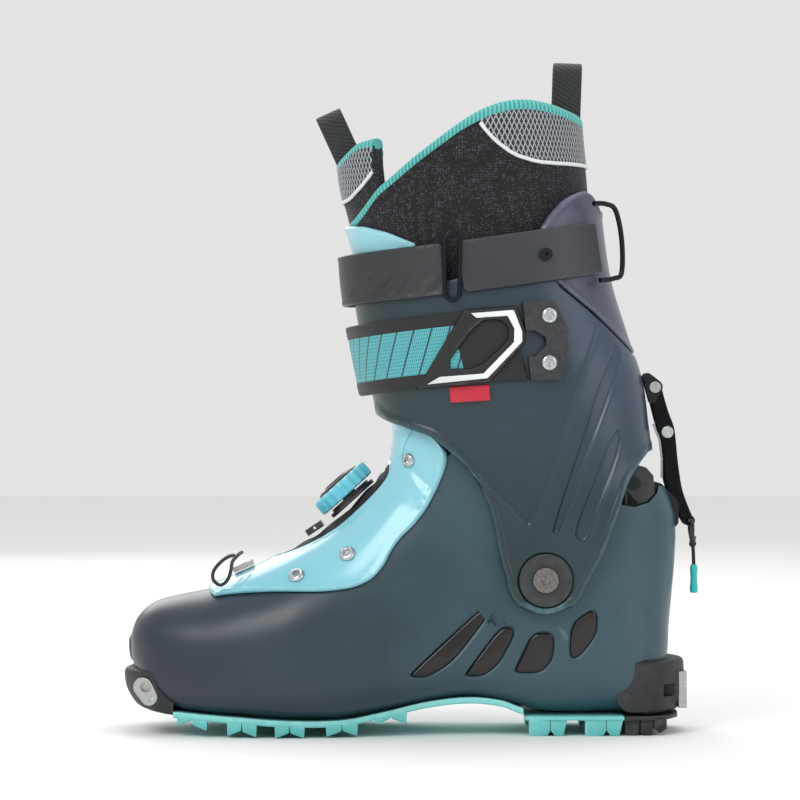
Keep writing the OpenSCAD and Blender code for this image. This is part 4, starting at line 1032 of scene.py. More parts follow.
edge_loop = ([k for k in range(row_len)] + [i * row_len + columns for i in range(1, lines + 1)]
             + [lines * row_len + k for k in range(columns - 1, -1, -1)]
             + [i * row_len for i in range(lines - 1, 0, -1)])
other = row_len * (lines + 1)
for k in range(len(edge_loop)):
    a, b = edge_loop[k], edge_loop[(k + 1) % len(edge_loop)]
    gaiter_faces.append((b, a, a + other, b + other))
gaiter = piece("gaiter_fabric", gaiter_points, gaiter_faces, membrane,
               "shell", 60)
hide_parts("gaiter")
black_moulded = plastic("moulded_black_nylon", "#070808", "#111214", 0.34, 0.5, 0.05, ior=1.53,
                        painted_light_ramp=((0, 0, 1), 0.0, 0.3), edge="#3d4043")
dress(black_moulded, "lace_guide", "dial_base", "lock_block", "pivot_bushes",
      "anchor_plate")
dress(metal("blackened_steel", "#26282b", "#3a3d41", 0.34, 0.1), "lock_bracket", "lock_rivet",
      "lever_bracket", "pivot_nuts", "dial_core", "strap_snap")
dress(metal("dark_nickel_steel", "#5e5a59", "#8f8b88", 0.24, 0.1, (1, 1, 1)), "pivot_bolts")
dress(plastic("polished_black_nylon", "#050506", "#0c0c0e", 0.14, 2.0, 0.02, ior=1.53,
              painted_light_ramp=((0, 0, 1), 0, 0.2)), "pivot_washers")

# ---------- lace dial ----------
# A knob that winds the lace: a black domed cap, and round it a grip of blue rubber with lugs.
dial_rubber = plastic("moulded_blue_rubber", "#4fb5cb", "#74cbda", 0.36, 0.5, 0.05, ior=1.5,
                      painted_light_ramp=((0, 0, 1), 0.1, 0.14), edge="#bfe9f0")
DIAL_AT, DIAL_AXIS = (-31.4, 0, 118.7), (-0.67, 0, 0.742)
dial_frame = set_up(DIAL_AT, DIAL_AXIS)
GRIP_LUGS = 20


def grip_lugs(angle, level):
    wave = math.cos(GRIP_LUGS * angle)
    return 1 + (0.022 * np.sign(wave) * abs(wave) ** 0.5 if 2 <= level <= 8 else 0)


dial_grip = worked(tool(*turned([(12.2, -3.2), (14.2, -3.7), (15.0, -3.5), (15.5, -2.9), (15.6, -1.5),
                                 (15.6, 0), (15.6, 1.8), (15.4, 2.9), (14.9, 3.5), (14.2, 3.75),
                                 (12.6, 3.8), (12.2, 3.3)], dial_frame, 240, grip_lugs)),
                   ("DIFFERENCE", turned([(4.06, -6), (4.06, 2.1)], dial_frame, 64)),
                   ("DIFFERENCE", turned([(12.25, 2.6), (12.25, 8)], dial_frame, 96)))
dial_grip.name = "dial_grip_rubber"
finished(dial_grip, dial_rubber, "knob", 30)
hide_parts("dial_knob")


def cap_petals(angle, level):
    return 1 + (0.03 * math.cos(3 * angle) if level in (3, 4) else 0)


dial_cap = piece("dial_cap_moulded", *turned([(12.1, 2.65), (12.15, 3.7), (11.6, 4.5), (9.6, 5.2),
                                              (9.2, 4.9), (7.2, 5.2), (6.6, 5.8), (4.6, 6.05), (0.1, 6.1)],
                                             dial_frame, 96, cap_petals), black_moulded, "knob", 40)

# ---------- liner of the foot ----------
# The lower part of the heat-moulded foam liner, lined with brushed knit, and a felt insole in it.
CUFF = [(-30, 95, 46, 2.3), (-28.5, 97, 47, 2.3), (-27, 100.8, 48, 2.35), (-23.5, 108, 48.5, 2.4),
        (-18.8, 115.7, 48.5, 2.5), (-13.5, 119, 47.5, 2.7), (-14, 123, 46, 3.2), (-30, 140, 45.5, 4.2),
        (-34, 146, 45.5, 5), (-34, 146, 45.5, 5), (-34, 146, 45.5, 5)]
INNER = [(-34, 87.5, 44, 2.2), (-37, 89, 44.5, 2.2), (-35.5, 91.4, 43, 2.25), (-29.8, 93.4, 43.6, 2.3),
         (-23.6, 97.2, 44.6, 2.35), (-20.1, 104.4, 45.1, 2.4), (-15.4, 112, 45.1, 2.5),
         (-10, 115.3, 44, 2.7), (-10, 117, 42.4, 3.2), (-10, 117, 42, 3.2)]
CUFF_TOP, INNER_TOP, ROW_STEP = 268, 316, 24


def level_at(rows, top, a, z, off=0.0, front=0.0):
    """Point of a level section at height z and bearing a (0 rear, 90 outer side, 180 shin)."""
    a, z, off = np.broadcast_arrays(np.asarray(a, float), np.asarray(z, float), off)
    r = np.moveaxis(row_at(rows, (top - z) / ROW_STEP), -1, 0)
    c = powered(np.cos(np.radians(a)), r[3])
    s = powered(np.sin(np.radians(a)), r[3])
    reach = (r[1] - r[0]) / 2 + off + np.where(c < 0, front * c * c, 0)
    return np.stack([(r[0] + r[1]) / 2 + reach * c, -(r[2] + off) * s, z], -1)


def cuff_at(a, z, off=0.0, front=0.0):
    return level_at(CUFF, CUFF_TOP, a, z, off, front)


def inner_at(a, z, off=0.0):
    return level_at(INNER, INNER_TOP, a, z, off)


def bearing(rows, top, x, z):
    """Bearing at which the outer side reaches x at height z."""
    r = np.moveaxis(row_at(rows, (top - np.asarray(z, float)) / ROW_STEP), -1, 0)
    u = np.clip((2 * np.asarray(x, float) - r[0] - r[1]) / (r[1] - r[0]), -1, 1)
    return np.degrees(np.arccos(np.sign(u) * np.abs(u) ** (r[3] / 2)))


def knit(name, low, high, stitch_mm, rough=0.85, sheen=0.4, tint="#9a94a6", depth=0.35, heather=0.5):
    """Weft knit: rows of small loops, in yarn whose colour varies from loop to loop, with painted shade in
    the sunk gaps between the loops.
    """
    material, tree = new_finish(name)
    where = add(tree, "TexCoord").outputs["Object"]
    cells = add(tree, "TexVoronoi", {"Vector": where, "Scale": 1 / (stitch_mm * MM),
                                     "Randomness": 0.55})
    clouds = add(tree, "TexNoise", {"Vector": where, "Scale": 1 / (stitch_mm * 2.2 * MM),
                                    "Detail": 4, "Roughness": 0.7})
    mixed = add(tree, "Math", {0: clouds, 1: heather, 2: 0.0}, operation="MULTIPLY_ADD")
    # Painted shade: the sunk gaps between loops are painted darker, mixed with the heather clouds.
    heather_and_gap_shade = add(tree, "Math", {0: cells, 1: -0.55, 2: mixed},
                   operation="MULTIPLY_ADD")
    tone = add(tree, "ValToRGB", {"Fac": heather_and_gap_shade})
    tone.color_ramp.elements[0].position = 0.0
    tone.color_ramp.elements[0].color = srgb(low)
    tone.color_ramp.elements[1].position = 0.32
    tone.color_ramp.elements[1].color = srgb(high)
    relief = add(tree, "Bump", {"Height": cells, "Strength": 0.8,
                                "Distance": -depth * MM})
    shader = add(tree, "BsdfPrincipled", {
        "Base Color": tone, "Roughness": rough, "Sheen Weight": sheen,
        "Sheen Tint": srgb(tint), "Normal": relief})
    add(tree, "OutputMaterial", {"Surface": shader})
    return material


liner_knit = knit("heathered_polyester_knit", "#08080a", "#57525d", 1.3)
lining = knit("brushed_lining_knit", "#141418", "#3a3a42", 1.6, heather=0.45)
liner_foot = worked(tool(*shell_solid(-3.9, 3, 21, 0.25, 96)),
                    ("DIFFERENCE", shell_solid(-8.9, 4, 22, 0.25, 96)),
                    ("DIFFERENCE", swept_zone(74)), ("DIFFERENCE", notch(11, 67.4)),
                    ("DIFFERENCE", prism([(104, 108), (104, 138), (124, 138), (124, 108)], 24.2, 60)),
                    ("DIFFERENCE", prism([(104, 108), (104, 138), (124, 138), (124, 108)], -60, -24.2)),
                    ("DIFFERENCE", prism(disc(*PIVOT, 10), 32.6, 60)),
                    ("DIFFERENCE", prism(disc(*PIVOT, 10), -60, -32.6)))
liner_foot.name = "liner_foot_knit"
finished(liner_foot, lining, "shell")
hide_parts("liner_lower")

felt = woven("needled_insole_felt", "#2b3038", "#565e69", 0.6, 0.9)
insole_points, insole_faces = [], []
rows_x = np.linspace(-100, 110, 64)
for level in (0, 1):
    for x in rows_x:
        t = np.interp(x, [-111, -97, -82, -66, -50, -31, -11, 11, 31, 50, 70, 97, 122],
                      [3, 4, 5, 6, 7, 8, 9, 10, 11, 12, 13, 14, 15])
        half = min(row_at(SHELL, t)[4] - 11.5, 14 + 1.3 * (x + 103), 13 + 1.25 * (113 - x))
        floor_z = max(row_at(SHELL, t)[3], 10) + 9.3 + (3.2 if level == 0 else 0)
        for y in np.linspace(-1, 1, 15):
            cup = 2.2 * abs(y) ** 3 * (1 if level == 0 else 0.7)
            insole_points.append((x, y * half, floor_z + cup))
count = 15
for level in (0, 1):
    for i in range(len(rows_x) - 1):
        for j in range(count - 1):
            a = level * len(rows_x) * count + i * count + j
            quad = (a, a + count, a + count + 1, a + 1)
            insole_faces.append(quad if level == 0 else quad[::-1])
loop = ([j for j in range(count)] + [i * count + count - 1 for i in range(1, len(rows_x))]
        + [(len(rows_x) - 1) * count + j for j in range(count - 2, -1, -1)]
        + [i * count for i in range(len(rows_x) - 2, 0, -1)])
for k in range(len(loop)):
    a, b = loop[k], loop[(k + 1) % len(loop)]
    insole_faces.append((a, b, b + len(rows_x) * count, a + len(rows_x) * count))
insole = piece("insole_felt", insole_points, insole_faces, felt, "shell")
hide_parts("insole")

# ---------- cuff ----------
# The walking cuff: one moulding of carbon-filled polyamide, 2.8 mm thick, stiffened with a raised
# V and two sunken channels down to the pivot on each side, and a thickened lip along its edge.
cuff_plastic = plastic("moulded_carbon_polyamide_cuff", "#11272d", "#303f52", 0.3, 0.5, 0.04,
                       painted_light_ramp=((0.8, 0, 0.6), 0.07, 0.19), edge="#6fa3ab", third="#193239")
LOWER = [(-40, 156.5), (-16, 156.5), (-13.5, 153.5), (-9, 151.2), (-3.5, 149.3), (11, 144.5),
         (18.7, 138.5), (28.8, 129), (34, 121.5), (39, 111), (42, 99), (44.7, 84.5), (47.5, 75.8),
         (48.1, 71.4), (49.8, 67.3), (52.5, 63.8), (58, 61.1), (62.1, 59.4), (66.5, 58.8), (70.9, 59.4),
         (75, 61.1), (81, 63.8), (83.7, 67.3), (85.4, 71.4), (94.6, 88.5), (100.3, 103.7), (104.5, 115),
         (107, 122.5), (112, 130.5), (118.6, 138.2), (150, 139.2)]
UPPER = [(-40, 211), (0, 215), (30, 222), (52, 233), (62, 242), (64.3, 242.6), (66, 238), (69, 220.5),
         (92, 202), (111, 184), (150, 153)]
CUFF_PIVOT_HOLE = 12.85
TURN_MM = 1.1


def edge_on(rows, top, edge, soften=1):
    """A side-view edge, front to rear, as (bearing, height) on the outer side."""
    line = rounded(edge, 1.4, soften, closed=False)
    r = np.moveaxis(row_at(rows, (top - line[:, 1]) / ROW_STEP), -1, 0)
    within = (line[:, 0] > r[0] + 0.02) & (line[:, 0] < r[1] - 0.02)
    turn = bearing(rows, top, line[:, 0], line[:, 1])
    on = np.column_stack([turn, line[:, 1]])[within]
    first = np.array([[180, np.interp(0, [0, 1], [on[0, 1], on[0, 1]])]])
    last = np.array([[0, on[-1, 1]]])
    gap_a, gap_b = on[0, 0], on[-1, 0]
    front = np.array([[a, on[0, 1]] for a in np.arange(178.5, gap_a + 1, -1.5)])
    rear = np.array([[a, on[-1, 1]] for a in np.arange(gap_b - 1.5, 1, -1.5)])
    return np.concatenate([x for x in (first, front, on, rear, last) if len(x)])


def wrapped(lower, upper):
    """Outline in the flat pattern of a form that wraps from the shin round the rear and back."""
    low, high = even_line(lower), even_line(upper)
    seam_low, seam_high = low[0], high[0]
    count = int(abs(seam_high[1] - seam_low[1]) / 1.5)
    seam = [(seam_low[0], z) for z in np.linspace(seam_low[1], seam_high[1], count + 1)[1:-1]]
    outer = np.concatenate([low[::-1], seam, high]) if count > 1 else np.concatenate([low[::-1], high])
    inner = (outer * (-1, 1))[::-1]
    return np.concatenate([outer[:-1], inner[:-1]])


def evened(turn, z, back=False):
    """Cuff bearing changed to one that runs evenly along the section, or changed back."""
    power = np.moveaxis(row_at(CUFF, (CUFF_TOP - np.asarray(z, float)) / ROW_STEP), -1, 0)[3]
    power = 4 / power if back else power
    t = np.radians(turn)
    even = np.degrees(np.arctan2(powered(np.sin(t), power), powered(np.cos(t), power)))
    return even + 360 * np.round((turn - even) / 360)


def even_line(line):
    """(bearing, height) in the cuff's flat pattern, with no gap longer than 1.8 mm."""
    flat = np.column_stack([evened(line[:, 0], line[:, 1]) * TURN_MM, line[:, 1]])
    dense = [flat[:1]]
    for p, q in zip(flat[:-1], flat[1:]):
        count = max(1, math.ceil(np.linalg.norm(q - p) / 1.8))
        dense.append(p + (q - p) * np.arange(1, count + 1)[:, None] / count)
    return np.concatenate(dense)


def to_pattern(x, z):
    return np.column_stack([evened(bearing(CUFF, CUFF_TOP, x, z), z) * TURN_MM, z])


cuff_low = edge_on(CUFF, CUFF_TOP, LOWER)
cuff_high = edge_on(CUFF, CUFF_TOP, UPPER)
cuff_outline = wrapped(cuff_low, cuff_high)
RAISED_V = [(31.5, 127.6), (54, 104), (57.4, 101), (60, 102.5), (74.9, 143), (91.5, 197)]
CHANNELS = [[(99.7, 191.5), (69.1, 100.5), (70.5, 97), (73.3, 98.9), (105.6, 185)],
            [(100.6, 151), (79.1, 98.9), (83, 93.5), (87.4, 95.5), (104.6, 143)]]
LIP_MM = 4.2


def from_line(line, spots, closed=False):
    """Distance of points from a line of straight stretches."""
    line = np.asarray(line, float)
    if closed:
        line = np.concatenate([line, line[:1]])
    best = np.full(len(spots), 1e9)
    for p, q in zip(line[:-1], line[1:]):
        step = q - p
        share = np.clip(((spots - p) @ step) / (step @ step), 0, 1)
        best = np.minimum(best, np.linalg.norm(spots - (p + share[:, None] * step), axis=1))
    return best


def cuff_place(flat, off):
    return cuff_at(evened(flat[:, 0] / TURN_MM, flat[:, 1], back=True), flat[:, 1], off)


def cuff_relief(flat):
    seen = cuff_place(flat, 0)[:, [0, 2]]
    height = 0.75 * np.clip(1 - (from_line(v_line, seen) / 1.25) ** 2, 0, 1)
    for channel in CHANNELS:
        ring = rounded(channel, 1.2, 2)
        gap = from_line(ring, seen, True)
        height += np.where(inside([ring], seen), -0.95 * np.clip(gap / 1.1, 0, 1), 0)
        height += 0.25 * np.clip(1 - gap / 0.9, 0, 1)
    lip = np.abs(flat[:, 0]) > 2
    gap = from_line(LOWER, seen)
    return height + np.where(lip, 0.55 * np.clip((LIP_MM - gap) / 0.9, 0, 1), 0)


v_line = rounded(RAISED_V, 1.2, 2, closed=False)
detail = []
for line, closed in [(v_line, False)] + [(rounded(c, 1.0, 2), True) for c in CHANNELS]:
    ahead = np.gradient(line, axis=0)
    ahead /= np.linalg.norm(ahead, axis=1)[:, None]
    across = np.stack([-ahead[:, 1], ahead[:, 0]], 1)
    for shift in (-1.6, -1.1, -0.5, 0, 0.5, 1.1, 1.6):
        detail.append(line + across * shift)
low_line = rounded(LOWER, 1.6, 1, closed=False)
ahead = np.gradient(low_line, axis=0)
ahead /= np.linalg.norm(ahead, axis=1)[:, None]
across = np.stack([-ahead[:, 1], ahead[:, 0]], 1)
for shift in (LIP_MM - 1.5, LIP_MM - 0.9, LIP_MM - 0.4, LIP_MM + 0.1, LIP_MM + 0.7):
    detail.append(low_line + across * shift)
detail = np.concatenate(detail)
half_rows = np.moveaxis(row_at(CUFF, (CUFF_TOP - detail[:, 1]) / ROW_STEP), -1, 0)
detail = detail[(detail[:, 0] > half_rows[0] + 1) & (detail[:, 0] < half_rows[1] - 1)]
detail = to_pattern(detail[:, 0], detail[:, 1])
detail = np.concatenate([detail, detail * (-1, 1)])
hole_line = np.array(disc(*PIVOT, CUFF_PIVOT_HOLE, 72))
hole = to_pattern(hole_line[:, 0], hole_line[:, 1])


cuff_points, cuff_faces, _ = fitted_solid([cuff_outline, hole, hole * (-1, 1)],
                                          rounded_edge(0, -2.8, 1.0), cuff_place, 2.2,
                                          detail=detail, relief=cuff_relief)
cuff = piece("cuff_moulding", cuff_points, cuff_faces, cuff_plastic,
             "cuff_body", 50)
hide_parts("cuff")

# ---------- spoiler ----------
# A second moulding riveted behind the cuff, purple-grey with a pearl, that follows the calf.
spoiler_plastic = plastic("moulded_pearl_polyamide", "#353c4d", "#524f66", 0.3, 0.5, 0.04,
                          painted_light_ramp=((0.5, 0, 0.85), 0.19, 0.28), edge="#a9b7c4", third="#44495b")
SEAM = [(64.6, 243), (66.4, 238.5), (69.4, 221), (77, 214.9), (85, 208.7), (90.5, 204.5), (97, 198.5),
        (104, 191.7), (111, 185.1), (150, 154)]
CREST = [(64.4, 244), (69.2, 251.6), (76.8, 259.4), (85.9, 263.7), (89.8, 262.6), (93, 258.2),
         (94.6, 254.5), (150, 253)]
seam_line = edge_on(CUFF, CUFF_TOP, SEAM)
crest_line = edge_on(CUFF, CUFF_TOP, CREST)
seam_line = seam_line[seam_line[:, 0] < bearing(CUFF, CUFF_TOP, 64.8, 243)]
crest_line = crest_line[crest_line[:, 0] < bearing(CUFF, CUFF_TOP, 64.6, 244.3)]
half = np.concatenate([even_line(seam_line)[::-1], even_line(crest_line)])
spoiler_outline = np.concatenate([half[:-1], (half * (-1, 1))[::-1][:-1]])


def spoiler_relief(flat):
    return 0.5 * np.clip((3.4 - from_line(spoiler_outline, flat, True)) / 0.9, 0, 1) - 0.1


spoiler_points, spoiler_faces, _ = fitted_solid([spoiler_outline], rounded_edge(0, -2.6, 1.0),
                                                cuff_place, 1.8, relief=spoiler_relief)
spoiler = piece("spoiler_moulding", spoiler_points, spoiler_faces,
                spoiler_plastic, "cuff_body", 50)
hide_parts("spoiler")

# ---------- tongue ----------
# One piece of the same soft glossy plastic as the flap, 2 mm thick: its foot is tied to the flap,
# its top stands in front of the shin. Its form passes from the shell's to the cuff's where the cuff swings.
TONGUE_TOP = [(-40, 247.4), (-30, 247), (-22, 246.4), (-10, 243), (-0.5, 239), (4.5, 237), (20, 232)]
TONGUE_FOOT = 136


def tongue_place(flat, off):
    turn, z = 180 + flat[:, 0] / TURN_MM, flat[:, 1]
    upper = inner_at(turn, np.maximum(z, 150), off - 0.1)
    width = -upper[:, 1]
    t = np.interp(z, [134, 137.5, 140.5, 143, 145.5, 147.5, 149.5, 151, 156],
                  [14, 15, 16, 17, 18, 19, 20, 21, 22.5])
    row = row_at(SHELL, t)
    v = np.clip(width * 0.82 / (row[:, 4] + 2.2), -0.94, 0.94)
    around = np.degrees(np.arcsin(np.sign(v) * np.abs(v) ** (row[:, 6] / 2)))
    lower = shell_at(t, 180 + around, off + 2.2)
    share = np.clip((z - 143) / 17, 0, 1)[:, None]
    share = share * share * (3 - 2 * share)
    return lower * (1 - share) + upper * share


top_turns = np.arange(116, 244.1, 1.2)
tops = np.full(len(top_turns), 240.0)
for _ in range(6):
    tops = along(TONGUE_TOP, inner_at(top_turns, tops)[:, 0])
top_line = np.column_stack([(top_turns - 180) * TURN_MM, tops])
sides_z = np.arange(TONGUE_FOOT + 4, tops[0] - 1, 1.5)
tongue_outline = np.concatenate([
    [(x, TONGUE_FOOT) for x in np.arange(top_line[0, 0] + 27, top_line[-1, 0] - 27, 1.5)],
    [(top_line[-1, 0] - 27 * max(0, (196 - z) / 60) ** 1.3, z) for z in sides_z],
    top_line[::-1],
    [(top_line[0, 0] + 27 * max(0, (196 - z) / 60) ** 1.3, z) for z in sides_z[::-1]]])


def tongue_relief(flat):
    return 0.5 * np.clip((4 - from_line(tongue_outline, flat, True)) / 1.2, 0, 1)


points, faces, _ = fitted_solid([tongue_outline], rounded_edge(0, -1.9, 0.8), tongue_place, 2.2,
                                relief=tongue_relief)
tongue = piece("tongue_moulding", points, faces, flap_plastic, None, 40)
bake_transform(tongue)
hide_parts("tongue_lower", "tongue_upper")

# ---------- upper liner ----------
# Heat-moulded foam 7.5 mm thick under a coarse heathered knit, with a roll of ribbed knit sewn
# round its top, a panel of diamond mesh at the heel and thin reflective piping along the panel.
COLLAR = [(-40, 247), (-24, 250), (-19, 262), (-10, 268.5), (1.5, 278.5), (17, 290), (30, 299),
          (43, 305), (56, 307.5), (70, 306), (78, 303.5), (90, 300)]
SOFT_R, INSTEP_R, SPLIT = 77, 107.6, 117


def soft_low(x):
    split_0 = PIVOT[0] + INSTEP_R * math.cos(math.radians(SPLIT))
    split_1 = PIVOT[0] + SOFT_R * math.cos(math.radians(SPLIT))
    front = PIVOT[1] + np.sqrt(np.maximum(INSTEP_R ** 2 - (x - PIVOT[0]) ** 2, 0))
    rear = PIVOT[1] + np.sqrt(np.maximum(SOFT_R ** 2 - (x - PIVOT[0]) ** 2, 0))
    ramp = PIVOT[1] + (x - PIVOT[0]) * math.tan(math.radians(SPLIT))
    return np.where(x < split_0, front, np.where(x < split_1, ramp, rear))


liner_turns = np.arange(0, 360, 1.5)
rim_z = np.full(len(liner_turns), 280.0)
low_z = np.full(len(liner_turns), 150.0)
collar_x, collar_z = np.array(COLLAR, float).T
smooth_x = np.linspace(-40, 90, 261)
smooth_z = np.convolve(np.pad(np.interp(smooth_x, collar_x, collar_z), 12, "edge"), np.ones(25) / 25, "valid")
for _ in range(8):
    rim_z = np.interp(inner_at(liner_turns, rim_z, -2.6)[:, 0], smooth_x, smooth_z)
    low_z = soft_low(inner_at(liner_turns, low_z, -2.6)[:, 0])
FOAM_OUT, FOAM_IN = -2.6, -10.1
SOCK_DROP = 14
liner_rows = []
outer_steps, inner_steps = 60, 60
for k in range(outer_steps + 1):
    share = k / outer_steps
    z = low_z + (rim_z - 3 - low_z) * share
    dent = 0.8 * np.exp(-((rim_z - 8.5 - z) / 2.0) ** 2) + 0.5 * np.exp(-((z - low_z) / 2) ** 2)
    wrinkle = 0.35 * np.sin(z / 9.0 + 2 * np.sin(np.radians(liner_turns * 2))) * np.clip((z - 190) / 30, 0, 1)
    liner_rows.append(inner_at(liner_turns, z, FOAM_OUT - dent + wrinkle * 0.6))
for angle in (25, 60, 90, 120, 155):
    half_t = (FOAM_OUT - FOAM_IN) / 2
    z = rim_z - 3 + 2.0 * math.sin(math.radians(angle))
    liner_rows.append(inner_at(liner_turns, z, FOAM_OUT - half_t + half_t * math.cos(math.radians(angle))))
for k in range(inner_steps + 1):
    share = k / inner_steps
    z = rim_z - 3 + (low_z - SOCK_DROP - rim_z + 3) * share
    pinch = 2.2 * np.clip((low_z + 6 - z) / 18, 0, 1)
    swell = 0.5 * np.sin(z / 13 + 1.5 * np.cos(np.radians(liner_turns * 3)))
    liner_rows.append(inner_at(liner_turns, z, FOAM_IN - pinch - swell * 0.5 - 0.3))
liner_rows.append(inner_at(liner_turns, low_z - SOCK_DROP + 0.3, FOAM_IN - 1.2))
liner_rows.append(inner_at(liner_turns, low_z, FOAM_IN + 1.5))
liner_points = np.concatenate(liner_rows)
liner_faces = ring_faces(len(liner_rows), len(liner_turns), closed=True)
liner = piece("liner_knit", liner_points, liner_faces, liner_knit, None, 60)
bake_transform(liner)
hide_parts("liner_upper")


def ribbed(name, low, high, rib_mm):
    """Ribbed stretch knit: raised wales across the roll, each of small stitches."""
    material, tree = new_finish(name)
    cloth = add(tree, "Attribute", attribute_name="on_cloth")
    split = add(tree, "SeparateXYZ", {"Vector": cloth.outputs["Vector"]})
    turn = add(tree, "Math", {0: split.outputs["X"], 1: 2 * math.pi / (rib_mm * MM)}, operation="MULTIPLY")
    wale = add(tree, "Math", {0: turn}, operation="SINE")
    where = add(tree, "TexCoord").outputs["Object"]
    stitches = add(tree, "TexVoronoi", {"Vector": where, "Scale": 1 / (0.9 * MM)})
    height = add(tree, "Math", {0: stitches, 1: -0.5, 2: wale},
                 operation="MULTIPLY_ADD")
    # Painted shade: the tone follows the relief, lighter on the raised wales and darker in the hollows
    # between them.
    level = add(tree, "MapRange", {"Value": height, "From Min": -1.3, "From Max": 1.0})
    tone = add(tree, "MixRGB", {"Fac": level, "Color1": srgb(low), "Color2": srgb(high)})
    relief = add(tree, "Bump", {"Height": height, "Strength": 0.7, "Distance": 0.25 * MM})
    shader = add(tree, "BsdfPrincipled", {
        "Base Color": tone, "Roughness": 0.8, "Sheen Weight": 0.3,
        "Sheen Tint": srgb("#c9efea"), "Normal": relief})
    add(tree, "OutputMaterial", {"Surface": shader})
    return material


teal_knit = ribbed("ribbed_teal_knit", "#2f8f8c", "#6cc9c2", 2.1)


def rolled_rim(name, turns, tops, out_off, in_off, height, closed, finish):
    """A padded roll along a rim, thicker than what it is sewn on."""
    turns, tops = np.asarray(turns), np.asarray(tops)
    middle, half_t = (out_off + in_off) / 2, (out_off - in_off) / 2
    profile = []
    for angle in np.arange(-90, 271, 18)[:-1]:
        c, s = math.cos(math.radians(angle)), math.sin(math.radians(angle))
        profile.append((powered(c, 2.6) * half_t, powered(s, 2.3)))
    rings, flat = [], []
    seat = inner_at(turns, tops, middle)
    gone = np.concatenate([[0], np.cumsum(np.linalg.norm(np.diff(seat, axis=0), axis=1))])
    height = np.broadcast_to(height, len(turns))
    for side_off, rise in profile:
        z = tops - height / 2 + rise * height / 2
        rings.append(inner_at(turns, z, middle + side_off))
        flat.append(np.column_stack([gone, np.full(len(turns), side_off), np.full(len(turns), rise)]))
    size = len(profile)
    points = np.stack(rings, 1).reshape(-1, 3)
    flat = np.stack(flat, 1).reshape(-1, 3)
    faces = ring_faces(len(turns), size, closed)
    if not closed:
        faces += [tuple(range(size))[::-1], tuple(range(len(points) - size, len(points)))]
    return piece(name, points, faces, finish, "cuff_body", 60, flat)


collar_turns = np.arange(0, 360, 0.75)
collar_tops = np.interp(collar_turns, np.append(liner_turns, 360), np.append(rim_z, rim_z[0]))
collar_high = np.interp(inner_at(collar_turns, collar_tops)[:, 0], [-35, 10, 50, 90], [6, 5.5, 7.2, 8.2])
collar = rolled_rim("liner_collar_roll", collar_turns, collar_tops + 0.2, FOAM_OUT + 0.6, FOAM_IN - 0.5,
                    collar_high, True, teal_knit)


def diamonds(name, size_mm, line_share):
    """Knitted spacer mesh: silver yarn in nested diamonds over a black ground."""
    material, tree = new_finish(name)
    cloth = add(tree, "Attribute", attribute_name="on_cloth")
    split = add(tree, "SeparateXYZ", {"Vector": cloth.outputs["Vector"]})
    bands = []
    for sign in (1, -1):
        slanted = add(tree, "Math", {0: split.outputs["X"], 1: sign * 1.9, 2: split.outputs["Y"]},
                      operation="MULTIPLY_ADD")
        scaled = add(tree, "Math", {0: slanted, 1: 1 / (size_mm * MM)}, operation="MULTIPLY")
        bands.append(add(tree, "Math", {0: scaled.outputs[0], 1: 1.0}, operation="PINGPONG").outputs[0])
    nearest = add(tree, "Math", {0: bands[0], 1: bands[1]}, operation="MINIMUM")
    line = add(tree, "MapRange", {"Value": nearest, "From Min": line_share,
                                  "From Max": line_share * 0.4, "To Min": 0.0, "To Max": 1.0})
    where = add(tree, "TexCoord").outputs["Object"]
    yarn = add(tree, "TexNoise", {"Vector": where, "Scale": 1 / (0.7 * MM), "Detail": 3})
    amount = add(tree, "Math", {0: line, 1: yarn}, operation="MULTIPLY")
    tone = add(tree, "ValToRGB", {"Fac": amount})
    tone.color_ramp.elements[0].position = 0.05
    tone.color_ramp.elements[0].color = srgb("#1a1c20")
    tone.color_ramp.elements[1].position = 0.5
    tone.color_ramp.elements[1].color = srgb("#a9afb6")
    relief = add(tree, "Bump", {"Height": amount, "Strength": 0.8, "Distance": 0.35 * MM})
    shader = add(tree, "BsdfPrincipled", {
        "Base Color": tone, "Roughness": 0.6, "Sheen Weight": 0.2,
        "Normal": relief})
    add(tree, "OutputMaterial", {"Surface": shader})
    return material


diamond_mesh = diamonds("diamond_spacer_mesh", 2.6, 0.34)
PIPING = [(33, 300.5), (35.3, 295.2), (42.7, 287), (52.3, 280.3), (64.3, 277), (76, 276.6), (120, 276.6)]


def liner_place(flat, off):
    return inner_at(flat[:, 0] / TURN_MM, flat[:, 1], off)


piping_side = edge_on(INNER, INNER_TOP, PIPING)
panel_low = piping_side * (TURN_MM, 1)
panel_turns = panel_low[:, 0] / TURN_MM
panel_top = np.interp(panel_turns, np.append(liner_turns, 360), np.append(rim_z, rim_z[0])) - 4.2
keep = panel_top > panel_low[:, 1] + 0.5
panel_low, panel_top = panel_low[keep], panel_top[keep]
panel_high = np.column_stack([panel_low[:, 0], panel_top])
mirror = (-1, 1)
ring = np.concatenate([panel_low, (panel_low * mirror)[::-1][1:], panel_high * mirror,
                       panel_high[::-1][1:]])
points, faces, flat = fitted_solid([ring], [(-0.5, -2.15), (0, -2.5), (0, -3.2), (-0.5, -3.4)],
                                   liner_place, 2.0)
heel_mesh = piece("liner_mesh_panel", points, faces, diamond_mesh, "cuff_body",
                  60, flat)

# Reflective piping: silver-white coated cord, smooth and slightly glossy.
piping_tape = plastic("reflective_piping", "#b9bec1", "#e3e6e7", 0.35, 0.4, 0.05, ior=1.5,
                      painted_light_ramp=((0, 0, 1), 0.2, 0.3))
half_line = piping_side[keep]
piping_path = np.concatenate([half_line, (half_line * (-1, 1))[::-1][1:]])
piping_spots = inner_at(piping_path[:, 0], piping_path[:, 1], -2.1)
points, faces = tube(piping_spots, 0.95, 12)
piping = piece("liner_piping", points, faces, piping_tape, "cuff_body")

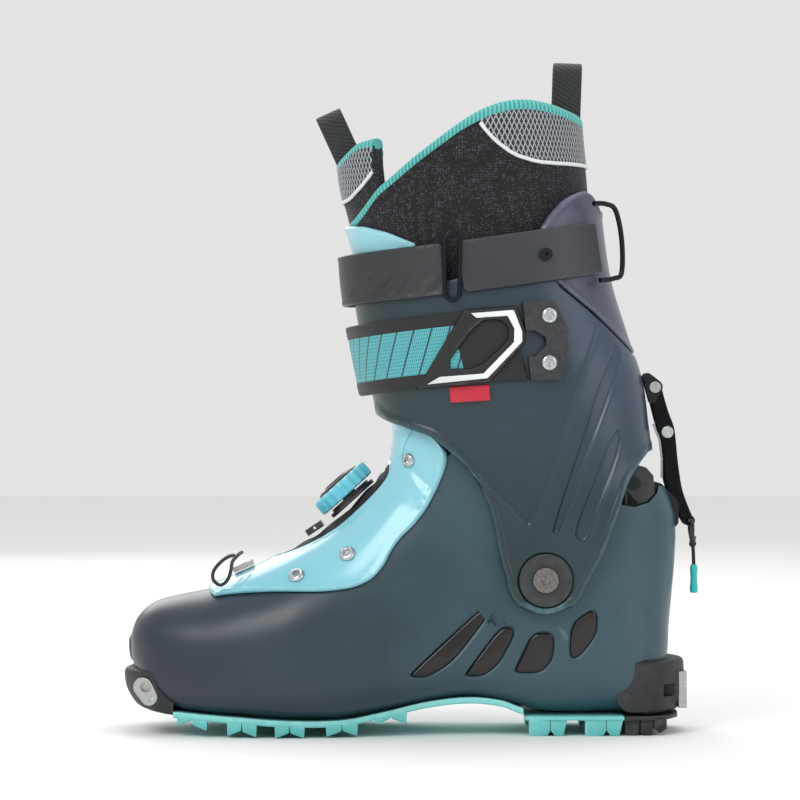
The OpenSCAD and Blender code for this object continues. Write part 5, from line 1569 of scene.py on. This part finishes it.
# ---------- liner tongue ----------
# The padded front of the liner, with its own teal roll, mesh panel and piping.
TONGUE_ROLL = [(-40, 277), (-34, 278.5), (-24.5, 287), (-15, 289), (-7, 288), (-0.5, 284), (5, 281),
               (20, 270)]
roll_turns = np.arange(133, 227.1, 1.0)
roll_tops = np.full(len(roll_turns), 280.0)
roll_x, roll_z = np.array(TONGUE_ROLL, float).T
for _ in range(8):
    roll_tops = np.interp(inner_at(roll_turns, roll_tops, -3)[:, 0], roll_x, roll_z)
roll_tops = np.convolve(np.pad(roll_tops, 4, "edge"), np.ones(9) / 9, "valid")
pad_rows = []
steps = 44
for k in range(steps + 1):
    z = 236 + (roll_tops - 2.5 - 236) * k / steps
    pad_rows.append(inner_at(roll_turns, z, -2.5 - 0.5 * np.exp(-((roll_tops - 6.5 - z) / 1.5) ** 2)
                             + 0.25 * np.sin(z / 7)))
for k in range(steps + 1):
    z = roll_tops - 2.5 - (roll_tops - 2.5 - 236) * k / steps
    pad_rows.append(inner_at(roll_turns, z, -9.2))
pad_grid = np.array(pad_rows)
size = len(pad_rows)
points = pad_grid.transpose(1, 0, 2).reshape(-1, 3)
faces = ring_faces(len(roll_turns), size)
faces += [tuple(range(size))[::-1], tuple(range(len(points) - size, len(points)))]
tongue_pad = piece("liner_tongue_pad", points, faces, liner_knit, "cuff_body", 60)
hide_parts("liner_tongue")
tongue_roll = rolled_rim("liner_tongue_roll", roll_turns, roll_tops + 0.2, -1.9, -9.6, 6.2, False, teal_knit)
FRONT_PIPING = [(-60, 256.5), (-32, 258), (-22, 267.4), (-13.6, 279), (-11, 283)]
front_side = edge_on(INNER, INNER_TOP, FRONT_PIPING)
front_side = front_side[(front_side[:, 0] <= 180) & (front_side[:, 0] >= roll_turns[0])]
front_top = np.interp(front_side[:, 0], roll_turns, roll_tops) - 3.4
keep = front_top > front_side[:, 1] + 0.4
low = (front_side[keep] - (180, 0)) * (TURN_MM, 1)
high = np.column_stack([low[:, 0], front_top[keep]])
ring = np.concatenate([low[::-1], (low * (-1, 1))[1:], (high * (-1, 1))[::-1], high[1:]])


def shin_place(flat, off):
    return inner_at(180 + flat[:, 0] / TURN_MM, flat[:, 1], off)


points, faces, flat = fitted_solid([ring], [(-0.4, -2.0), (0, -2.3), (0, -3.0), (-0.4, -3.2)],
                                   shin_place, 2.0)
front_mesh = piece("liner_tongue_mesh", points, faces, diamond_mesh, "cuff_body",
                   60, flat)
line = front_side[keep]
path = np.concatenate([line[::-1], (line - (360, 0)) * (-1, 1)])
points, faces = tube(inner_at(path[:, 0], path[:, 1], -2.0), 0.9, 12)
front_piping = piece("liner_tongue_piping", points, faces, piping_tape, "cuff_body")

# ---------- pull loops ----------
# Nylon webbing, folded into a hairpin and sewn to the liner, to pull the boot on by.
def webbing(name, low, high, pitch_mm, slant=0.0):
    """Narrow-woven nylon: slanting cords across the strap and a fine weave in them."""
    material, tree = new_finish(name)
    cloth = add(tree, "Attribute", attribute_name="on_cloth")
    split = add(tree, "SeparateXYZ", {"Vector": cloth.outputs["Vector"]})
    slanted = add(tree, "Math", {0: split.outputs["Y"], 1: slant, 2: split.outputs["X"]},
                  operation="MULTIPLY_ADD")
    turn = add(tree, "Math", {0: slanted, 1: 2 * math.pi / (pitch_mm * MM)}, operation="MULTIPLY")
    wave = add(tree, "Math", {0: turn}, operation="SINE")
    across = add(tree, "Math", {0: split.outputs["Y"], 1: 2 * math.pi / (1.1 * MM)}, operation="MULTIPLY")
    fine = add(tree, "Math", {0: across}, operation="SINE")
    height = add(tree, "Math", {0: fine, 1: 0.35, 2: wave}, operation="MULTIPLY_ADD")
    # Painted shade: the tone follows the relief, lighter on the raised cords and darker in the hollows.
    level = add(tree, "MapRange", {"Value": height, "From Min": -1.35, "From Max": 1.35})
    tone = add(tree, "MixRGB", {"Fac": level, "Color1": srgb(low), "Color2": srgb(high)})
    relief = add(tree, "Bump", {"Height": height, "Strength": 0.6, "Distance": 0.2 * MM})
    shader = add(tree, "BsdfPrincipled", {"Base Color": tone, "Roughness": 0.62,
                                          "Sheen Weight": 0.25, "Normal": relief})
    add(tree, "OutputMaterial", {"Surface": shader})
    return material


loop_webbing = webbing("woven_nylon_webbing", "#0a0b0c", "#222528", 2.2, slant=0.6)


def pull_loop(name, origin, lean, half_gap, top, width, node_name):
    """A strap bent into a hairpin that stands on its two ends."""
    thick = 1.2
    middle = half_gap - thick / 2
    lift = top - half_gap
    path = [(-middle, z) for z in np.linspace(0, lift, 16)]
    path += [(-middle * math.cos(a), lift + middle * math.sin(a)) for a in np.linspace(0, math.pi, 21)[1:]]
    path += [(middle, z) for z in np.linspace(lift, 0, 16)[1:]]
    path = np.array(path)
    ahead = np.gradient(path, axis=0)
    ahead /= np.linalg.norm(ahead, axis=1)[:, None]
    normal = np.stack([-ahead[:, 1], ahead[:, 0]], 1)
    gone = np.concatenate([[0], np.cumsum(np.linalg.norm(np.diff(path, axis=0), axis=1))])
    section = []
    for angle in range(0, 360, 15):
        c, s = math.cos(math.radians(angle)), math.sin(math.radians(angle))
        section.append((powered(c, 9) * width / 2, powered(s, 3.0) * thick / 2))
    turn = math.radians(lean)
    points, flat = [], []
    for spot, out, run in zip(path, normal, gone):
        for x, off in section:
            y, z = spot + out * off
            points.append((origin[0] + x * math.cos(turn) + z * math.sin(turn), origin[1] + y,
                           origin[2] - x * math.sin(turn) + z * math.cos(turn)))
            flat.append((run, x, off))
    size = len(section)
    faces = ring_faces(len(path), size)
    faces += [tuple(range(size))[::-1], tuple(range(len(points) - size, len(points)))]
    made = piece(name, points, faces, loop_webbing, "cuff_body", 50, flat)
    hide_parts(node_name)


pull_loop("front_loop_webbing", (-27, 0, 277), -24.6, 5.5, 29, 13, "front_pull_loop")
pull_loop("rear_loop_webbing", (78, 0, 296), 2, 6, 32, 14, "rear_pull_loop")

# ---------- power strap ----------
# A moulded polyurethane strap, 2.4 mm thick and grey-black, in two parts joined by a ring. Its
# front part has sunken slanting bars; its rear part is fastened with a press stud.
strap_pu = plastic("moulded_grey_polyurethane", "#212427", "#303337", 0.42, 0.6, 0.06, ior=1.5,
                   painted_light_ramp=((1, 0, 0.2), 0.0, 0.12), edge="#5a5f63")


def power_top(x):
    return 235.5 + 0.11 * x + 0.0004 * x * x


def power_low(x):
    return 210.3 + 0.095 * x + 0.0005 * x * x


def finger_top(x):
    return 201.6 + 0.125 * x - 0.0003 * x * x


def finger_low(x):
    return 167 + 0.12 * x - 0.0008 * x * x


def strap_outline(turn_0, turn_1, width, corner):
    """Rounded rectangle in the strap's own pattern: bearing in mm along, distance across."""
    u0, u1, v0, v1 = turn_0 * TURN_MM, turn_1 * TURN_MM, -width / 2, width / 2
    ring = []
    for u, v, first in ((u1 - corner, v1 - corner, 0), (u0 + corner, v1 - corner, 90),
                        (u0 + corner, v0 + corner, 180), (u1 - corner, v0 + corner, 270)):
        for angle in range(0, 91, 15):
            a = math.radians(first + angle)
            ring.append((u + corner * math.cos(a), v + corner * math.sin(a)))
    ring = np.array(ring)
    closed = np.concatenate([ring, ring[:1]])
    dense = []
    for p, q in zip(closed[:-1], closed[1:]):
        count = max(1, int(np.linalg.norm(q - p) / 1.5))
        dense += [p + (q - p) * k / count for k in range(count)]
    return np.array(dense)


def strap_place_of(low, top, gap, front):
    def put(flat, off):
        z = np.full(len(flat), 200.0)
        turn = evened(flat[:, 0] / TURN_MM, z, back=True)
        width = np.full(len(flat), 26.0)
        for _ in range(5):
            x = cuff_at(turn, z, gap, front)[:, 0]
            middle, width = (top(x) + low(x)) / 2, top(x) - low(x)
            z = middle + flat[:, 1] / 26.0 * width
            turn = evened(flat[:, 0] / TURN_MM, z, back=True)
        return cuff_at(turn, z, gap + off, front)
    return put


def side_x(flat, put):
    return put(flat, 0.0)[:, [0, 2]]


BARS = []
for k in range(5):
    x = -27 + k * 9.2
    BARS.append([(x, 212.2), (x + 5.4, 212.6), (x + 13.5, 223.6), (x + 8.1, 223.2)])
put_front = strap_place_of(power_low, power_top, 0.5, 3.2)
front_start = float(evened(bearing(CUFF, CUFF_TOP, 18.5, 225), 225))
front_outline = strap_outline(front_start, float(evened(318, 225)), 26, 3.0)


def bar_relief(flat):
    seen = side_x(flat, put_front)
    outer_side = flat[:, 0] < 180 * TURN_MM
    height = np.zeros(len(flat))
    for bar in BARS:
        ring = rounded(bar, 0.8, 2)
        gap = from_line(ring, seen, True)
        height += np.where(inside([ring], seen) & outer_side, -0.8 * np.clip(gap / 0.8, 0, 1), 0)
    return height + 0.25 * np.clip((2.6 - from_line(front_outline, flat, True)) / 0.7, 0, 1)


grid_u, grid_v = np.meshgrid(np.arange(118 * TURN_MM, 178 * TURN_MM, 0.8), np.arange(-11.5, 3, 0.8))
bar_detail = np.column_stack([grid_u.ravel(), grid_v.ravel()])
points, faces, flat = fitted_solid([front_outline], rounded_edge(2.35, 0, 0.7), put_front, 2.2,
                                   detail=bar_detail, relief=bar_relief)
power_front = piece("power_strap_front", points, faces, strap_pu, "cuff_body", 45, flat)
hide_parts("power_strap")

put_rear = strap_place_of(power_low, power_top, 0.6, 0)
rear_end = float(evened(bearing(CUFF, CUFF_TOP, 25.5, 225), 225))
rear_outline = strap_outline(float(evened(30, 225)), rear_end, 26, 3.0)


def rear_relief(flat):
    return 0.25 * np.clip((2.6 - from_line(rear_outline, flat, True)) / 0.7, 0, 1)


points, faces, flat = fitted_solid([rear_outline], rounded_edge(2.2, 0, 0.7), put_rear, 2.2,
                                   relief=rear_relief)
power_rear = piece("power_strap_back", points, faces, strap_pu, "cuff_body", 45, flat)
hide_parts("power_strap_rear")

# ---------- buckles ----------
# Bent wire of blackened steel at the rear, a stamped black ring at the side.
black_steel = metal("blackened_spring_steel", "#1d1f22", "#34373b", 0.3, 0.1)
WIRE = [(93, -34, 220), (100, -30, 221), (104, -27, 224), (104, -27, 240), (101, -27.5, 254),
        (96, -30, 257), (90, -34, 257)]
wire_line = row_at(WIRE, np.linspace(0, len(WIRE) - 1, 61))
points, faces = tube(wire_line, 1.25, 14)
rear_wire = piece("rear_buckle_wire", points, faces, black_steel, "cuff_body")
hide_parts("rear_buckle")
ring_at = cuff_at(bearing(CUFF, CUFF_TOP, 22, 225), 225)


def ring_place(flat, off):
    lean = math.radians(-2)
    return np.column_stack([22 + (flat[:, 0] - 22) * math.cos(lean) + off * math.sin(lean),
                            ring_at[1] - off + (flat[:, 0] - 22) * math.sin(lean), flat[:, 1]])


def slot_outline(x, z0, z1, r, count=14):
    upper = [(x + r * math.cos(a), z1 + r * math.sin(a)) for a in np.linspace(0, math.pi, count)]
    lower = [(x + r * math.cos(a), z0 + r * math.sin(a)) for a in np.linspace(math.pi, 2 * math.pi, count)]
    return rounded(upper + lower, 0.9, 1)


points, faces, _ = fitted_solid([slot_outline(21.6, 213.5, 238.5, 4.6), slot_outline(21.6, 214, 238, 2.5)],
                                rounded_edge(5.3, 3.2, 0.9), ring_place, 1.2)
side_ring = piece("ring_buckle_stamped", points, faces, black_steel, "cuff_body")
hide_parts("ring_buckle")

# ---------- finger strap ----------
# Printed polyester webbing: a teal band with slanting dark lines between black selvedges.
printed, tree = new_finish("printed_polyester_webbing")
cloth = add(tree, "Attribute", attribute_name="on_cloth")
split = add(tree, "SeparateXYZ", {"Vector": cloth.outputs["Vector"]})
across = add(tree, "Math", {0: split.outputs["Y"]}, operation="ABSOLUTE")
selvedge = add(tree, "Math", {0: across, 1: 8.1 * MM}, operation="GREATER_THAN")
slanted = add(tree, "Math", {0: split.outputs["Y"], 1: 0.62, 2: split.outputs["X"]}, operation="MULTIPLY_ADD")
steps_in = add(tree, "Math", {0: slanted, 1: 1 / (8.2 * MM)}, operation="MULTIPLY")
saw = add(tree, "Math", {0: steps_in}, operation="FRACT")
dark_line = add(tree, "Math", {0: saw, 1: 0.1}, operation="LESS_THAN")
black_from = float(evened(bearing(CUFF, CUFF_TOP, 25, 188), 188)) * TURN_MM * MM
behind = add(tree, "Math", {0: split.outputs["X"], 1: black_from}, operation="LESS_THAN")
black_area = add(tree, "Math", {0: selvedge, 1: behind}, operation="MAXIMUM")
rib_in = add(tree, "Math", {0: split.outputs["Y"], 1: 2 * math.pi / (1.25 * MM)}, operation="MULTIPLY")
rib = add(tree, "Math", {0: rib_in}, operation="SINE")
pick_in = add(tree, "Math", {0: split.outputs["X"], 1: 2 * math.pi / (0.9 * MM)}, operation="MULTIPLY")
pick = add(tree, "Math", {0: pick_in}, operation="SINE")
weave = add(tree, "Math", {0: rib, 1: 0.6, 2: pick}, operation="MULTIPLY_ADD")
# Painted shade: the weave relief is painted lighter on its raised threads and darker in its hollows, on the
# teal and on the black.
shade = add(tree, "MapRange", {"Value": weave, "From Min": -1.6, "From Max": 1.6})
teal_tone = add(tree, "MixRGB", {"Fac": shade, "Color1": srgb("#2f8790"), "Color2": srgb("#63bdc2")})
black_tone = add(tree, "MixRGB", {"Fac": shade, "Color1": srgb("#050606"), "Color2": srgb("#17191b")})
printed_tone = add(tree, "MixRGB", {"Fac": dark_line, "Color1": teal_tone,
                                    "Color2": srgb("#2a4248")})
mixed = add(tree, "MixRGB", {"Fac": black_area, "Color1": printed_tone,
                             "Color2": black_tone})
relief = add(tree, "Bump", {"Height": weave, "Strength": 0.6, "Distance": 0.15 * MM})
shader = add(tree, "BsdfPrincipled", {"Base Color": mixed, "Roughness": 0.6,
                                      "Sheen Weight": 0.15, "Normal": relief})
add(tree, "OutputMaterial", {"Surface": shader})

put_finger = strap_place_of(finger_low, finger_top, 0.4, 4)
finger_outline = strap_outline(float(evened(bearing(CUFF, CUFF_TOP, 53, 190), 190)),
                               float(evened(290, 190)), 26, 1.0)


def finger_relief(flat):
    across = np.abs(flat[:, 1])
    return 0.35 * np.clip((across - 8.6) / 0.6, 0, 1) * np.clip((12.9 - across) / 0.5, 0, 1)


points, faces, flat = fitted_solid([finger_outline], rounded_edge(1.75, 0, 0.6), put_finger, 2.0,
                                   relief=finger_relief)
finger = piece("finger_strap_webbing", points, faces, printed, "cuff_body", 45, flat)
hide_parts("finger_strap")

# Overlay: black polyurethane welded on the webbing, with a white band and a six-sided window.
OVERLAY = [(27, 205.4), (52.5, 207.3), (56.5, 195.5), (56.5, 189.5), (39, 170.4), (4.3, 167)]
WINDOW = [(34, 199.7), (44.6, 200.6), (48.5, 196.3), (48, 190.5), (34, 177.6), (17.3, 177.1)]


def overlay_place(flat, off):
    turn = bearing(CUFF, CUFF_TOP, flat[:, 0], flat[:, 1])
    spots = cuff_at(turn, flat[:, 1], 2.3 + off, 4)
    return np.column_stack([flat[:, 0], spots[:, 1], flat[:, 1]])


overlay_ring, overlay_window = rounded(OVERLAY, 0.9, 0), rounded(WINDOW, 0.9, 1)


def overlay_relief(flat):
    gap = np.minimum(from_line(overlay_ring, flat, True), from_line(overlay_window, flat, True))
    return 0.35 * np.clip((1.5 - gap) / 0.4, 0, 1)


points, faces, flat = fitted_solid([overlay_ring, overlay_window], rounded_edge(1.2, 0, 0.5),
                                   overlay_place, 1.4, relief=overlay_relief)
overlay = piece("strap_overlay_welded", points, faces, black_moulded, "cuff_body", 45)
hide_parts("strap_overlay")
white_pu = plastic("white_polyurethane_film", "#c9cdcf", "#eceeee", 0.45, 0.6, 0.06, ior=1.5,
                   painted_light_ramp=((1, 0, 0), 0.0, 0.05))
BAND = [(30.5, 203.6), (50.9, 205.2), (54.9, 194.9), (54.9, 190), (38.4, 172.6), (9.5, 169.6),
        (15.5, 173.2), (36.4, 174.8), (51, 189.8), (51.2, 196.2), (48.0, 202.4), (33, 201.4)]
points, faces, flat = fitted_solid([rounded(BAND, 0.9, 0)], [(-0.15, 1.42), (0, 1.3), (0, 0.9), (-0.1, 0.8)],
                                   overlay_place, 1.2)
band = piece("strap_overlay_band", points, faces, white_pu, "cuff_body", 45)

# Screws of the anchor plate.
plate_y = cuff_at(bearing(CUFF, CUFF_TOP, 66, 190), 190)[1]
lean = math.radians(8)
screw_points, screw_faces = [], []
for z in (202.6, 180):
    at = (66 + 1.3 * math.cos(lean) + 4.3 * math.sin(lean), plate_y - 4.3 * math.cos(lean)
          + 1.3 * math.sin(lean), z)
    spots, faces = domed_screw(at, (math.sin(lean), -math.cos(lean), 0), 3.8, 1.6)
    base = len(screw_points)
    screw_points.extend(spots)
    screw_faces += [tuple(base + k for k in f) for f in faces]
anchor_screws = piece("anchor_screws_plated", screw_points, screw_faces, zinc, "cuff_body", 40)
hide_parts("anchor_screws")

# ---------- label ----------
# A woven polyester label, red, folded once and sewn under the strap; it carries no words.
red_weave = woven("woven_red_label", "#a8162c", "#d9304a", 0.5, 0.65, 0.2, "#ff9aa8", 0.08)
LABEL = [(20.2, 168.4), (39.2, 169.6), (39.8, 162), (20.8, 160.9)]


def label_place(flat, off):
    turn = bearing(CUFF, CUFF_TOP, flat[:, 0], flat[:, 1])
    spots = cuff_at(turn, flat[:, 1], off)
    lift = 0.9 * np.clip((166 - flat[:, 1]) / 5, 0, 1) ** 2
    return np.column_stack([flat[:, 0], spots[:, 1] - 0.7 - lift, flat[:, 1]])


points, faces, flat = fitted_solid([rounded(LABEL, 0.8, 0)], rounded_edge(0.7, 0, 0.3), label_place, 1.2)
label = piece("sewn_label", points, faces, red_weave, "cuff_body", 50, flat)
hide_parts("label")

# ---------- walk lever ----------
# Two stamped cheeks of black anodised aluminium with a thin core between them; rivets and the
# spring strip are bare steel.
anodised = metal("black_anodised_aluminium", "#131416", "#26282b", 0.36, 0.1)
LEVER = [(118.4, 169.4), (118.6, 165), (120.6, 157), (122, 151.5), (125, 142.5), (126, 133),
         (126, 123.5), (129, 114), (133.6, 105.5), (136.3, 100.6), (140.8, 100.3), (141.2, 103),
         (138.5, 109), (135, 118.5), (133, 132.5), (132.3, 141), (131.4, 149), (128, 157.5),
         (125.2, 168), (123.8, 172), (120.5, 172.2)]


def lever_place(flat, off):
    return np.column_stack([flat[:, 0], flat[:, 0] * 0 + off, flat[:, 1]])


lever_line = rounded(LEVER, 1.2, 2)
eye_hole = np.array(disc(138.9, 102.9, 1.3, 24))
pin_hole = np.array(disc(121.6, 168.5, 2.15, 28))
rivet_hole = np.array(disc(127.9, 146.5, 2.4, 28))
lever_points, lever_faces = [], []
for outer, inner in ((-3.6, -5.5), (5.5, 3.6)):
    spots, faces, _ = fitted_solid([lever_line, eye_hole, pin_hole, rivet_hole],
                                   rounded_edge(outer, inner, 0.6), lever_place, 3)
    faces = outward_faces(spots, faces)
    base = len(lever_points)
    lever_points.extend(spots)
    lever_faces += [tuple(base + k for k in f) for f in faces]
core_line = lever_line + (lever_line.mean(0) - lever_line) * 0.02
spots, faces, _ = fitted_solid([core_line, np.array(disc(138.9, 102.9, 1.4, 24)),
                                np.array(disc(121.6, 168.5, 2.3, 28)), np.array(disc(127.9, 146.5, 2.5, 28))],
                               [(-1.3, 3.7), (-1.2, 3.6), (-1.2, -3.6), (-1.3, -3.7)], lever_place, 3)
base = len(lever_points)
lever_points.extend(spots)
lever_faces += [tuple(base + k for k in f) for f in outward_faces(spots, faces)]
lever = piece("walk_lever_stamped", lever_points, lever_faces, anodised, "lever", 40)
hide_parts("walk_lever")
dress(zinc, "lever_rivet")
